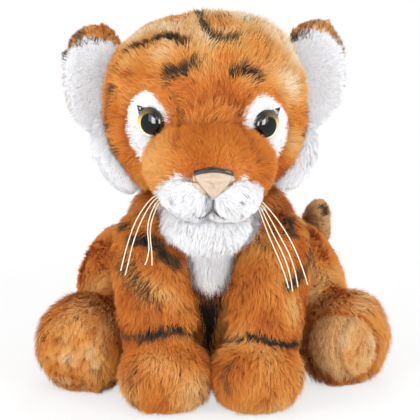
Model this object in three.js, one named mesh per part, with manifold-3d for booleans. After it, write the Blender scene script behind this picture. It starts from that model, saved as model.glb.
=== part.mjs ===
// A sitting plush tiger cub, about 290 mm tall, sewn from pile fabric and stuffed.
// Millimetres, +Z up, the face looks along -Y, and the tiger's own left is +X.
// The origin lies on the floor under the middle of the seat. The values below are drawn about
// the middle of the toy, and the toy as a whole is moved onto the origin by its seat.
import * as THREE from "three";
import { mergeVertices } from "three/addons/utils/BufferGeometryUtils.js";
import Module from "manifold-3d";

const wasm = await Module();
wasm.setup();

// Cloth and fit
const fabric = 2.2; // thickness of the pile fabric's backing and its roots
const clearance = 0.3; // gap between pieces that touch
const swingClearance = 0.6; // gap between a piece and the path of what moves past it
const settle = 0.5; // how far the floor presses a resting form flat
const overrun = 20; // how far a cutter runs past what it cuts
const seamShare = 1e-9; // a smaller share of a width counts as none, so that a form closes along its seam

// Torso: an upright egg that leans forwards from the seat to the nape
const torso = {
  from: { x: 0, y: 32, z: -settle },
  bend: { x: 0, y: 12, z: 82 },
  to: { x: 0, y: -32, z: 160 },
  halfWidth: 72,
  halfDepth: 62,
  widthShares: [0.86, 1.0, 1.0, 0.97, 0.9, 0.84],
  depthShares: [0.95, 1.0, 0.97, 0.86, 0.76, 0.7],
  bluntness: 3,
  around: 16,
  along: 10,
};
const bodySpread = 320; // wider than the whole toy, for cutters

// Neck: a ball of filling that the head and the body are sewn round
const neckRoom = {
  radii: [0, 110, 78, 66, 54, 36, 0],
  heights: [-60, -60, -12, 2, 13, 22, 26],
  around: 18,
};
const faceMiddle = -6; // the face's own middle before the head is turned
const neck = { x: 0, y: -26, z: 146, radius: 26, slack: 0.8, around: 20, along: 12 };

// Head, before it is turned
const head = {
  from: { x: faceMiddle, y: -24, z: 140 },
  bend: { x: faceMiddle, y: -24, z: 210 },
  to: { x: faceMiddle, y: -24, z: 281 },
  halfWidth: 72,
  halfDepth: 61,
  widthShares: [0.98, 1.0, 1.0, 1.0, 1.02, 1.06],
  depthShares: [0.85, 0.95, 1.0, 1.02, 1.0, 1.0],
  frontShares: [0.82, 0.96, 1.0, 1.04, 1.04, 0.98],
  bluntness: 2.3,
  around: 20,
  along: 12,
};
const headTurn = THREE.MathUtils.degToRad(4);
const headTilt = THREE.MathUtils.degToRad(1.5);

// Snout: the broad orange mound between the eyes that ends under the nose
const snout = {
  from: { x: faceMiddle, y: -60, z: 190 },
  bend: { x: faceMiddle, y: -96, z: 187 },
  to: { x: faceMiddle, y: -120, z: 166 },
  halfWidth: 44,
  halfDepth: 30,
  widthShares: [1.0, 1.0, 0.97, 0.86, 0.64],
  depthShares: [0.75, 0.75, 0.74, 0.68, 0.6],
  frontShares: [1.2, 1.2, 1.1, 0.84, 0.6],
  bluntness: 2.7,
  section: 2.4,
  around: 14,
  along: 8,
};
const muzzlePad = {
  from: { x: -9, y: -108, z: 165 },
  bend: { x: 19, y: -125, z: 164 },
  to: { x: 25, y: -92, z: 172 },
  halfWidth: 17.5,
  halfDepth: 15,
  widthShares: [0.92, 1.0, 1.04, 1.04, 0.95],
  depthShares: [0.95, 1.0, 1.0, 1.0, 0.95],
  bluntness: 2.4,
  around: 12,
  along: 8,
};
const chin = {
  from: { x: faceMiddle, y: -64, z: 142 },
  bend: { x: faceMiddle, y: -96, z: 143 },
  to: { x: faceMiddle, y: -108, z: 124 },
  halfWidth: 31,
  halfDepth: 22,
  widthShares: [1.0, 1.0, 0.98, 0.88, 0.74],
  depthShares: [1.0, 1.0, 0.95, 0.86, 0.7],
  bluntness: 2.6,
  around: 14,
  along: 7,
};

// Nose and the sewn lines of the face, drawn on the front of the snout
const nose = { x: faceMiddle, top: 185.5, tip: 166, halfWidth: 13.5, crown: 2.5, shoulder: 5, thickness: 1.8 };
const stitch = { width: 1.5, thickness: 0.8 };
const mouth = { junction: 158, corner: 150.5, reach: 12, sag: 1 };
const faceDepth = { near: -140, far: -112 }; // the span along Y that the face's cutters cover

// Eyes: a domed safety eye on a ribbed stem, over a felt lash and a white pile patch
const eye = {
  radius: 10.8,
  height: 6.6,
  rim: 0.9,
  stemRadius: 2.2,
  stemLength: 16,
  ribs: 2,
  ribDepth: 0.5,
  ribPitch: 2.2,
  stationShare: 0.498,
  angles: { left: THREE.MathUtils.degToRad(31), right: THREE.MathUtils.degToRad(33) },
  around: 14,
  domeSteps: 4,
};
const lash = { radius: 10.2, spike: 6, spikeSpread: 0.45, lean: 2.4, thickness: 0.9, around: 14 };
const washer = { radius: 7, thickness: 1.6, seat: 0.9, around: 12 };
const eyePatch = {
  halfWidth: 19,
  halfHeight: 24,
  reach: 16,
  thickness: 2.6,
  lift: 0.5,
  inward: 0,
  around: 12,
  along: 6,
};

// Cheeks and ears, whose places across the head are shares of its half width
const besideShares = {
  cheekTop: 0.972,
  cheekMiddle: 1.056,
  cheekLow: 0.667,
  earRoot: 0.861,
  earLow: 0.917,
  earMiddle: 1.222,
  earTop: 1.056,
};
const cheek = {
  from: { x: head.halfWidth * besideShares.cheekTop, y: -16, z: 208 },
  bend: { x: head.halfWidth * besideShares.cheekMiddle, y: -26, z: 178 },
  to: { x: head.halfWidth * besideShares.cheekLow, y: -46, z: 152 },
  halfWidth: 13,
  halfDepth: 13,
  widthShares: [0.75, 1.0, 1.05, 1.0, 0.8],
  depthShares: [0.75, 1.0, 1.0, 1.0, 0.8],
  bluntness: 2.4,
  around: 10,
  along: 7,
};
const earRoot = { x: head.halfWidth * besideShares.earRoot, y: -6, z: 236 };
const ear = {
  from: { x: head.halfWidth * besideShares.earLow, y: -8, z: 192 },
  bend: { x: head.halfWidth * besideShares.earMiddle, y: earRoot.y, z: earRoot.z },
  to: { x: head.halfWidth * besideShares.earTop, y: -4, z: 277 },
  halfWidth: 25,
  halfDepth: 4.2,
  widthShares: [0.7, 0.92, 1.0, 1.02, 1.0, 0.85],
  depthShares: [1, 1, 1, 1, 1, 1],
  bluntness: 2.6,
  around: 12,
  along: 9,
};
const earRise = { left: 1, right: -5 };
const earCup = 9;
const earRim = 8;
const earSelvage = 2;
const earLiningSection = 6;
const earLining = 2.4;
const earLiningReach = 14;

// Forelegs: a column from the shoulder to a broad forepaw
const foreleg = {
  from: { x: 40, y: -28, z: 140 },
  bend: { x: 42, y: -50, z: 92 },
  to: { x: 33, y: -72, z: 24 },
  halfWidth: 29,
  halfDepth: 28,
  widthShares: [0.98, 1.12, 1.04, 0.98, 0.96, 0.9],
  depthShares: [0.9, 1.0, 0.97, 0.94, 0.92, 0.85],
  bluntness: 3,
  around: 10,
  along: 7,
};
const forepaw = {
  from: { x: 32.5, y: -40, z: 26 },
  bend: { x: 32.5, y: -74, z: 27.5 },
  to: { x: 32.5, y: -104, z: 23 },
  halfWidth: 31,
  halfDepth: 27,
  widthShares: [0.8, 0.95, 1.0, 1.0, 0.96],
  depthShares: [0.9, 1.0, 1.0, 0.97, 0.92],
  bluntness: 2.8,
  around: 12,
  along: 6,
};
const shoulder = { x: 40, y: -40, z: 124 };
const toe = { spread: 10, low: 6, high: 34, near: -118, far: -84 };

// Hind legs: a haunch beside the seat and a thick foot that shows its sole
const haunch = {
  from: { x: 62, y: 38, z: -settle },
  bend: { x: 62, y: 38, z: 56 },
  to: { x: 56, y: 32, z: 114 },
  halfWidth: 44,
  halfDepth: 48,
  widthShares: [0.9, 1.0, 1.0, 0.98, 0.92, 0.8],
  depthShares: [0.9, 1.0, 1.0, 0.98, 0.92, 0.8],
  bluntness: 2.4,
  around: 12,
  along: 7,
};
const foot = {
  halfWidth: 34,
  halfDepth: 34,
  widthShares: [0.7, 0.76, 0.9, 1.0, 1.0, 0.98],
  depthShares: [0.8, 0.86, 0.96, 1.0, 1.0, 0.98],
  bluntness: 3.6,
  around: 12,
  along: 6,
};
const ankle = { x: 78, y: 14, rise: 0.96 };
const footEnd = {
  left: { x: 116, y: -28 },
  right: { x: 104, y: -50 },
};
const sole = { radius: 24, thickness: 2, around: 16 };
const hip = { x: 66, y: 38, z: 50, room: 0.9 };

// Tail: rises from the rump and curls up beside the tiger's left flank
const tail = {
  path: {
    root: { x: 4, y: 58, z: 32 },
    rump: { x: 34, y: 100, z: 32 },
    back: { x: 68, y: 103, z: 58 },
    rise: { x: 85, y: 86, z: 92 },
    curl: { x: 84, y: 67, z: 115 },
    tip: { x: 92, y: 56, z: 119 },
  },
  room: 4,
  halfWidth: 11,
  halfDepth: 11,
  widthShares: [1.0, 1.0, 1.0, 0.98, 0.94, 0.85],
  depthShares: [1.0, 1.0, 1.0, 0.98, 0.94, 0.85],
  bluntness: 6,
  around: 8,
  along: 11,
};
const tailRoot = { x: 8, y: 70, z: 32 };

// Chest panel and the pellet pouch in the seat
const chest = { halfWidth: 13, halfHeight: 34, reach: 30, y: -62, z: 116, thickness: 2.6, around: 14, along: 10 };
const pouch = { y: 30, halfWidth: 46, halfDepth: 40, height: 20, around: 18, along: 8 };

// Whisker threads, each a list of [x, z] places that start at the side of the muzzle
const whisker = { radius: 0.4, sides: 8, steps: 7, leftRootY: -103, rightRootY: -103, tipY: -108 };
const whiskerPaths = {
  right_upper: [
    [-33.9, 164.2], [-37.4, 163.6], [-40.6, 161.6], [-43.6, 158.6],
    [-46.4, 155.0], [-48.9, 151.3], [-51.2, 147.4], [-53.2, 143.3],
    [-54.9, 139.0], [-56.4, 134.7], [-57.8, 130.3], [-59.1, 125.9],
    [-60.3, 121.4], [-61.4, 117.0], [-62.3, 113.6], [-63.0, 110.4],
  ],
  right_outer: [
    [-33.4, 163.1], [-37.2, 161.6], [-39.8, 159.4], [-42.3, 156.2],
    [-44.7, 152.4], [-46.9, 148.4], [-48.9, 144.3], [-50.7, 140.1],
    [-52.3, 135.8], [-53.8, 131.4], [-55.1, 127.0], [-56.2, 122.6],
    [-57.2, 118.3], [-58.2, 114.2], [-59.1, 110.4], [-60.0, 107.2],
  ],
  right_inner: [
    [-32.7, 161.2], [-36.8, 159.4], [-38.8, 156.6], [-40.6, 153.2],
    [-42.1, 149.4], [-43.3, 145.4], [-44.0, 141.4], [-44.2, 137.6],
    [-43.9, 134.0], [-43.5, 130.6], [-43.3, 127.4], [-43.4, 124.4],
    [-43.8, 121.6], [-44.4, 119.0], [-45.2, 116.6], [-46.0, 114.6],
  ],
  right_lower: [
    [-32.0, 159.8], [-36.2, 157.6], [-38.0, 154.0], [-39.6, 150.2],
    [-40.9, 146.4], [-41.8, 142.6], [-42.3, 138.8], [-42.4, 135.0],
    [-42.2, 131.4], [-41.8, 128.0], [-41.5, 124.8], [-41.3, 122.0],
    [-41.2, 119.6], [-41.2, 117.6], [-41.2, 115.8], [-41.2, 114.2],
  ],
  left_upper: [
    [33.2, 159.8], [36.0, 158.0], [39.2, 154.6], [42.4, 150.8],
    [45.6, 146.8], [48.6, 142.6], [51.4, 138.4], [54.0, 134.0],
    [56.4, 129.6], [58.6, 125.0], [60.6, 120.4], [62.4, 115.8],
    [64.0, 111.4], [65.4, 107.2], [66.6, 103.4], [67.6, 100.2],
  ],
  left_outer: [
    [32.1, 158.1], [35.4, 156.0], [37.8, 152.4], [40.2, 148.4],
    [42.6, 144.2], [45.0, 139.8], [47.4, 135.4], [49.8, 131.0],
    [52.2, 126.6], [54.4, 122.2], [56.2, 117.8], [57.6, 113.4],
    [58.7, 109.2], [59.6, 105.2], [60.3, 101.6], [60.8, 98.6],
  ],
  left_inner: [
    [31.1, 156.8], [34.6, 154.2], [36.4, 150.4], [38.3, 146.2],
    [40.3, 141.8], [42.4, 137.4], [44.6, 133.0], [46.8, 128.6],
    [49.0, 124.2], [51.0, 119.8], [52.7, 115.4], [54.1, 111.0],
    [55.2, 106.8], [56.0, 102.8], [56.6, 99.0], [57.0, 95.6],
  ],
  left_lower: [
    [30.0, 155.2], [33.6, 152.6], [35.0, 148.6], [36.6, 144.2],
    [38.3, 139.6], [40.1, 135.0], [42.0, 130.6], [43.9, 126.2],
    [45.8, 121.8], [47.6, 117.6], [49.2, 113.6], [50.6, 109.8],
    [51.8, 106.2], [52.8, 103.0], [53.6, 100.2], [54.2, 97.8],
  ],
};

// How far each seam lets its part move, in degrees
const travel = {
  nod: [-8, 8],
  turn: [-18, -6, 6, 18],
  foreleg: [-6, 9, 24],
  hindleg: [-4, 0, 5, 11, 17, 24],
  tail: [-4, 10, 25],
  ear: [-14, 0, 14],
};

const finishes = {
  orangePile: { color: "#c77430", roughness: 0.95 },
  whitePile: { color: "#ececee", roughness: 0.95 },
  solePile: { color: "#d9955a", roughness: 0.9 },
  nosePile: { color: "#e0bd9b", roughness: 0.85 },
  fibre: { color: "#f1efe9", roughness: 1 },
  pouchCloth: { color: "#d8d4ca", roughness: 0.9 },
  felt: { color: "#171412", roughness: 0.95 },
  thread: { color: "#14110f", roughness: 0.7 },
  whiskerThread: { color: "#efe6cf", roughness: 0.5 },
  eyeShell: { color: "#2a1d0c", roughness: 0.08 },
  lockWasher: { color: "#e6e4de", roughness: 0.4 },
};

const X = new THREE.Vector3(1, 0, 0);
const Y = new THREE.Vector3(0, 1, 0);
const Z = new THREE.Vector3(0, 0, 1);

function spot({ x = 0, y = 0, z = 0 }) {
  return new THREE.Vector3(x, y, z);
}

// A table of evenly spaced shares, read smoothly at any station from 0 to 1.
function smoothShare(shares, station) {
  const points = shares.map((share, i) => new THREE.Vector2(i / (shares.length - 1), share));
  return new THREE.SplineCurve(points).getPoint(THREE.MathUtils.clamp(station, 0, 1)).y;
}

// The point of a stuffed form at a station along its spine and an angle round it.
function formPoint(form, inset, station, angle) {
  const { curve, length } = form.spine;
  const trim = inset / length;
  const share = trim + station * (1 - 2 * trim);
  const held = THREE.MathUtils.clamp(share, 0, 1);
  const tangent = curve.getTangentAt(held);
  const centre = curve.getPointAt(held).addScaledVector(tangent, (share - held) * length);
  const across = form.across ?? X;
  const side = across.clone().addScaledVector(tangent, -across.dot(tangent)).normalize();
  const out = new THREE.Vector3().crossVectors(tangent, side);
  const girth = (1 - Math.abs(2 * station - 1) ** form.bluntness) ** (1 / form.bluntness);
  const depthShares = Math.sin(angle) < 0 && form.frontShares ? form.frontShares : form.depthShares;
  const halfWidth = form.halfWidth * smoothShare(form.widthShares, station) - inset;
  const halfDepth = form.halfDepth * smoothShare(depthShares, station) - inset;
  const squared = (ratio) =>
    Math.abs(ratio) < seamShare ? 0 : Math.sign(ratio) * Math.abs(ratio) ** (2 / (form.section ?? 2));
  return centre
    .addScaledVector(side, girth * halfWidth * squared(Math.cos(angle)))
    .addScaledVector(out, girth * halfDepth * squared(Math.sin(angle)));
}

// Gives a form its spine: a path of places, or one bend between its two ends.
function withSpine(form) {
  const curve = form.path
    ? new THREE.CatmullRomCurve3(Object.values(form.path).map(spot))
    : new THREE.QuadraticBezierCurve3(spot(form.from), spot(form.bend), spot(form.to));
  return { ...form, spine: { curve, length: curve.getLength() } };
}

// A stuffed form: a sphere drawn out along a spine, swelling and tapering, and inset by a wall.
function stuffed(form, inset = 0) {
  const whole = withSpine(form);
  const ball = new THREE.SphereGeometry(1, form.around, form.along);
  const places = ball.attributes.position;
  const place = new THREE.Vector3();
  for (let i = 0; i < places.count; i += 1) {
    place.fromBufferAttribute(places, i);
    const station = Math.acos(THREE.MathUtils.clamp(place.y, -1, 1)) / Math.PI;
    const angle = Math.atan2(place.z, place.x);
    const eased = (station + (1 - Math.cos(Math.PI * station)) / 2) / 2;
    const moved = formPoint(whole, inset, eased, angle);
    places.setXYZ(i, moved.x, moved.y, moved.z);
  }
  return ball;
}

// An ellipsoid about a place.
function ellipsoid(middle, halfWidth, halfDepth, halfHeight, around, along) {
  const centre = spot(middle);
  return new THREE.SphereGeometry(1, around, along)
    .rotateX(Math.PI / 2)
    .scale(halfWidth, halfDepth, halfHeight)
    .translate(centre.x, centre.y, centre.z);
}

// The same closed geometry on the other side of the toy's middle.
function mirrored(geometry) {
  const flipped = geometry.clone().applyMatrix4(new THREE.Matrix4().makeScale(-1, 1, 1));
  const index = flipped.index.array;
  for (let i = 0; i < index.length; i += 3) {
    [index[i + 1], index[i + 2]] = [index[i + 2], index[i + 1]];
  }
  return flipped;
}

function onSide(side, geometries) {
  return side === "left" ? geometries : geometries.map(mirrored);
}

// A turn about an axis through a pivot.
function turnAbout(pivot, axis, angle) {
  const centre = spot(pivot);
  return new THREE.Matrix4()
    .makeTranslation(centre)
    .multiply(new THREE.Matrix4().makeRotationAxis(axis, angle))
    .multiply(new THREE.Matrix4().makeTranslation(centre.clone().negate()));
}

function moved(geometries, matrix) {
  return geometries.map((geometry) => geometry.clone().applyMatrix4(matrix));
}

function solidOf(geometry) {
  const bare = geometry.clone();
  bare.deleteAttribute("normal");
  bare.deleteAttribute("uv");
  const merged = mergeVertices(bare);
  return new wasm.Manifold(
    new wasm.Mesh({
      numProp: 3,
      vertProperties: merged.attributes.position.array,
      triVerts: merged.index.array,
    }),
  );
}

function join(geometries) {
  return geometries.map(solidOf).reduce((whole, next) => whole.add(next));
}

function cut(solid, ...cutters) {
  return cutters.reduce((left, cutter) => left.subtract(cutter), solid);
}

// Everything that geometries pass through while they take a list of turns.
function swept(geometries, turns) {
  return turns.map((turn) => join(moved(geometries, turn))).reduce((whole, next) => whole.add(next));
}

// A layer of cloth or thread that lies on a form, where a region crosses it.
function applied(layersOf, lift, thickness, region) {
  return cut(join(layersOf(-(lift + thickness))).intersect(region), join(layersOf(-lift)));
}

function flatPrism(shape, depth) {
  return new THREE.ExtrudeGeometry(shape, { depth, bevelEnabled: false, curveSegments: 6 });
}

// A prism along Y whose outline is drawn in X and Z, across the span of the face.
function facePrism(shape) {
  return flatPrism(shape, faceDepth.far - faceDepth.near)
    .rotateX(Math.PI / 2)
    .translate(0, faceDepth.far, 0);
}

// A band of even width along a curve in the X and Z of the face.
function faceBand(curve, width, count) {
  const upper = [];
  const lower = [];
  for (let i = 0; i <= count; i += 1) {
    const middle = curve.getPoint(i / count);
    const along = curve.getTangent(i / count);
    const across = new THREE.Vector2(-along.y, along.x).multiplyScalar(width / 2);
    upper.push(middle.clone().add(across));
    lower.unshift(middle.clone().sub(across));
  }
  return facePrism(new THREE.Shape([...upper, ...lower]));
}

// Turns in degrees as matrices about a pivot
function turns(pivot, axis, degrees) {
  return degrees.map((angle) => turnAbout(pivot, axis, THREE.MathUtils.degToRad(angle)));
}

// Places beside the middle are given for the left, and the right mirrors them.
function sidePivot(pivot, side) {
  return side === "left" ? pivot : { ...pivot, x: -pivot.x };
}

const headPose = turnAbout(neck, Z, headTurn).multiply(turnAbout(neck, Y, headTilt));
const floor = solidOf(
  new THREE.BoxGeometry(bodySpread, bodySpread, overrun).translate(0, 0, -overrun / 2),
);

// Geometry of each form at a given inset; a negative inset swells it.
function torsoForm(inset) {
  return [stuffed(torso, inset)];
}

function headForm(inset) {
  return moved([stuffed(head, inset)], headPose);
}

function snoutForm(inset) {
  return moved([stuffed(snout, inset)], headPose);
}

function neckForm(inset) {
  return [
    new THREE.SphereGeometry(neck.radius - inset, neck.around, neck.along)
      .rotateX(Math.PI / 2)
      .translate(neck.x, neck.y, neck.z),
  ];
}

// A pair's form on one side of the head, whose own middle is not the toy's.
function headPair(geometries, side) {
  return moved(
    onSide(side, geometries).map((geometry) => geometry.translate(head.from.x, 0, 0)),
    headPose,
  );
}

function padForm(side, inset) {
  return headPair([stuffed({ ...muzzlePad, across: Z }, inset)], side);
}

function chinForm(inset) {
  return moved([stuffed(chin, inset)], headPose);
}

function cheekForm(side, inset) {
  return headPair([stuffed(cheek, inset)], side);
}

// An ear is a flat oval whose outer edge curls towards the face.
function cupped(geometry) {
  const places = geometry.attributes.position;
  for (let i = 0; i < places.count; i += 1) {
    const reach = Math.max(0, places.getX(i) - earRoot.x) / (ear.halfWidth * 2);
    places.setY(i, places.getY(i) - earCup * reach ** 2);
  }
  return geometry;
}

function earForm(side, inset) {
  return headPair([cupped(stuffed(ear, inset)).translate(0, 0, earRise[side])], side);
}

function earFrontForm(side) {
  const front = { ...ear, halfDepth: earLiningReach, section: earLiningSection };
  front.to = { ...ear.to, z: ear.to.z - earRim };
  const plug = cupped(stuffed(front)).translate(-earSelvage, -earLiningReach, earRise[side]);
  return headPair([plug], side);
}

function forelegForm(side, inset) {
  return onSide(side, [stuffed(foreleg, inset), stuffed(forepaw, inset)]);
}

function hindlegForm(side, inset) {
  const end = footEnd[side];
  const height = foot.halfDepth - settle;
  const shin = {
    ...foot,
    from: { x: ankle.x, y: ankle.y, z: height * ankle.rise },
    bend: { x: (ankle.x + end.x) / 2, y: (ankle.y + end.y) / 2, z: height },
    to: { x: end.x, y: end.y, z: height },
  };
  return onSide(side, [stuffed(haunch, inset), stuffed(shin, inset)]);
}

function tailForm(inset) {
  return [stuffed({ ...tail, across: Z }, inset)];
}

// The scene graph: a group for each part that moves, placed at its seam
const tiger = new THREE.Group();
tiger.position.y = -torso.from.y;

function addGroup(parent, pivot) {
  const group = new THREE.Group();
  group.position.copy(spot(pivot)).sub(parent.userData.pivot ?? new THREE.Vector3());
  group.userData.pivot = spot(pivot);
  parent.add(group);
  return group;
}

function addPiece(group, name, solid, finish) {
  const { numProp, vertProperties, triVerts } = solid.getMesh();
  const positions = new Float32Array((vertProperties.length / numProp) * 3);
  for (let i = 0; i < positions.length / 3; i += 1) {
    positions.set(vertProperties.subarray(i * numProp, i * numProp + 3), i * 3);
  }
  const geometry = new THREE.BufferGeometry();
  geometry.setAttribute("position", new THREE.BufferAttribute(positions, 3));
  geometry.setIndex(new THREE.BufferAttribute(new Uint32Array(triVerts), 1));
  geometry.translate(-group.userData.pivot.x, -group.userData.pivot.y, -group.userData.pivot.z);
  geometry.computeVertexNormals();
  const mesh = new THREE.Mesh(geometry, new THREE.MeshStandardMaterial({ metalness: 0, ...finish }));
  mesh.name = name;
  group.add(mesh);
}

const torsoGroup = addGroup(tiger, { x: 0, y: 0, z: 0 });
const neckGroup = addGroup(torsoGroup, neck);
const headGroup = addGroup(neckGroup, neck);
const sides = ["left", "right"];

// Paths that moving parts take past each other
const shoulders = Object.fromEntries(
  sides.map((side) => [side, turns(sidePivot(shoulder, side), X, travel.foreleg)]),
);
const forelegPath = Object.fromEntries(
  sides.map((side) => [side, swept(forelegForm(side, -swingClearance), shoulders[side])]),
);
const neckSocket = join(neckForm(-neck.slack)); // with room for the ball's facets to turn

function inverted(matrices) {
  return matrices.map((matrix) => matrix.clone().invert());
}

// The room under the head, round the neck's axis, that the body and the shoulders need as it nods and turns
const underHead = solidOf(
  mergeVertices(
    new THREE.LatheGeometry(
      neckRoom.radii.map((radius, i) => new THREE.Vector2(radius, neckRoom.heights[i])),
      neckRoom.around,
    ),
  )
    .rotateX(Math.PI / 2)
    .translate(neck.x, neck.y, neck.z),
);

function stuffedShoulder(side) {
  return onSide(side, [stuffed(foreleg, -swingClearance)])[0];
}

function buildTorso() {
  const inner = join(torsoForm(fabric));
  const cover = cut(join(torsoForm(0)), inner, neckSocket, floor);
  addPiece(torsoGroup, "body_cover", cover, finishes.orangePile);

  const cavity = join(torsoForm(fabric + clearance));
  const pouchForm = (inset) =>
    join([
      ellipsoid(
        { x: 0, y: pouch.y, z: 0 },
        pouch.halfWidth - inset,
        pouch.halfDepth - inset,
        pouch.height - inset,
        pouch.around,
        pouch.along,
      ),
    ]);
  addPiece(torsoGroup, "bean_bag", pouchForm(0).intersect(cavity), finishes.pouchCloth);
  addPiece(torsoGroup, "body_filling", cut(cavity, pouchForm(-clearance), neckSocket), finishes.fibre);

  const region = join([
    ellipsoid(chest, chest.halfWidth, chest.reach, chest.halfHeight, chest.around, chest.along),
  ]);
  const panel = applied(torsoForm, clearance, chest.thickness, region);
  addPiece(
    torsoGroup,
    "chest_panel",
    cut(panel, forelegPath.left, forelegPath.right, neckSocket),
    finishes.whitePile,
  );
  addPiece(neckGroup, "neck_plug", join(neckForm(0)), finishes.fibre);
}

// A frame whose Y axis points out of the head at an eye.
function eyeFrame(side) {
  const whole = withSpine(head);
  const reach = eye.radius / head.halfWidth / 2;
  const angle = eye.angles[side] - Math.PI / 2;
  const centre = formPoint(whole, 0, eye.stationShare, angle);
  const beside = formPoint(whole, 0, eye.stationShare, angle + reach).sub(centre);
  const above = formPoint(whole, 0, eye.stationShare + reach, angle).sub(centre);
  const outward = beside.cross(above).normalize();
  const upward = Z.clone().addScaledVector(outward, -outward.z).normalize();
  const inward = new THREE.Vector3().crossVectors(outward, upward);
  centre.x -= head.from.x;
  return new THREE.Matrix4().makeBasis(inward, outward, upward).setPosition(centre);
}

function onEye(side, geometry) {
  const placed = geometry.index ? geometry : mergeVertices(geometry);
  return headPair([placed.applyMatrix4(eyeFrame(side))], side)[0];
}

// The felt lies on the patch, and the dome on the felt.
const lashBase = 2 * clearance + eyePatch.thickness;
const eyeBase = lashBase + lash.thickness + clearance;

// The moulded eye: a dome with a rounded rim, over a stem with locking ribs.
function eyeShape() {
  const base = eyeBase;
  const stem = eye.stemRadius;
  const points = [new THREE.Vector2(0, base - eye.stemLength)];
  points.push(new THREE.Vector2(stem - eye.ribDepth, base - eye.stemLength));
  for (let i = 0; i < eye.ribs; i += 1) {
    const low = base - eye.stemLength + eye.ribPitch * (i + 1 / 2);
    points.push(new THREE.Vector2(stem, low + eye.ribPitch / 3));
    points.push(new THREE.Vector2(stem - eye.ribDepth, low + (eye.ribPitch * 2) / 3));
  }
  points.push(new THREE.Vector2(stem - eye.ribDepth, base));
  points.push(new THREE.Vector2(eye.radius - eye.rim, base));
  for (let i = 0; i < eye.domeSteps; i += 1) {
    const turn = (i / eye.domeSteps) * (Math.PI / 2);
    points.push(
      new THREE.Vector2(
        eye.radius * Math.cos(turn),
        base + eye.rim + (eye.height - eye.rim) * Math.sin(turn),
      ),
    );
  }
  points.push(new THREE.Vector2(0, base + eye.height));
  return new THREE.LatheGeometry(points, eye.around);
}

// The felt lash: a disc behind the eye with one spike past its upper outer edge.
function lashShape() {
  const shape = new THREE.Shape();
  const start = lash.lean + lash.spikeSpread;
  for (let i = 0; i <= lash.around; i += 1) {
    const turn = start + (i / lash.around) * (2 * Math.PI - 2 * lash.spikeSpread);
    const corner = [lash.radius * Math.cos(turn), -lash.radius * Math.sin(turn)];
    if (i === 0) shape.moveTo(...corner);
    else shape.lineTo(...corner);
  }
  const tip = lash.radius + lash.spike;
  shape.lineTo(tip * Math.cos(lash.lean), -tip * Math.sin(lash.lean));
  const plate = flatPrism(shape, lash.thickness);
  return plate.rotateX(-Math.PI / 2).translate(0, lashBase, 0);
}

function stemHole(radius, from, to) {
  const hole = new THREE.CylinderGeometry(radius, radius, to - from, washer.around);
  return hole.translate(0, (to + from) / 2, 0);
}

function buildEye(side) {
  const behind = fabric + washer.seat;
  const deep = eyeBase - eye.stemLength - clearance;
  const passage = solidOf(onEye(side, stemHole(eye.stemRadius + clearance, deep, overrun)));
  const pocket = solidOf(
    onEye(side, stemHole(washer.radius + clearance, -behind - washer.thickness - clearance, overrun)),
  );
  const dome = solidOf(onEye(side, eyeShape()));
  const felt = cut(solidOf(onEye(side, lashShape())), passage);
  const lock = solidOf(onEye(side, stemHole(washer.radius, -behind - washer.thickness, -behind)));
  const patchRegion = solidOf(
    onEye(
      side,
      ellipsoid(
        { x: -eyePatch.inward, y: 0, z: eyePatch.lift },
        eyePatch.halfWidth,
        eyePatch.reach,
        eyePatch.halfHeight,
        eyePatch.around,
        eyePatch.along,
      ),
    ),
  );
  const patch = cut(
    applied(headForm, clearance, eyePatch.thickness, patchRegion),
    join(snoutForm(-clearance)),
    passage,
  );
  addPiece(headGroup, `eye_${side}`, dome, finishes.eyeShell);
  addPiece(headGroup, `eye_lash_${side}`, felt, finishes.felt);
  addPiece(headGroup, `eye_washer_${side}`, cut(lock, passage), finishes.lockWasher);
  addPiece(headGroup, `eye_patch_${side}`, patch, finishes.whitePile);
  const lockRoom = solidOf(
    onEye(
      side,
      stemHole(washer.radius + clearance, -behind - washer.thickness - clearance, clearance - behind),
    ),
  );
  const surround = solidOf(onEye(side, stemHole(eye.radius + clearance, clearance, overrun)));
  return { passage, pocket, lockRoom, surround };
}

function noseOutline(grow) {
  const half = nose.halfWidth + grow;
  const shape = new THREE.Shape();
  shape.moveTo(nose.x - half, nose.top - nose.crown);
  shape.quadraticCurveTo(nose.x, nose.top + nose.crown, nose.x + half, nose.top - nose.crown);
  shape.quadraticCurveTo(nose.x + half, nose.top - nose.crown - nose.shoulder, nose.x, nose.tip - grow);
  shape.quadraticCurveTo(
    nose.x - half,
    nose.top - nose.crown - nose.shoulder,
    nose.x - half,
    nose.top - nose.crown,
  );
  return shape;
}

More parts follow.
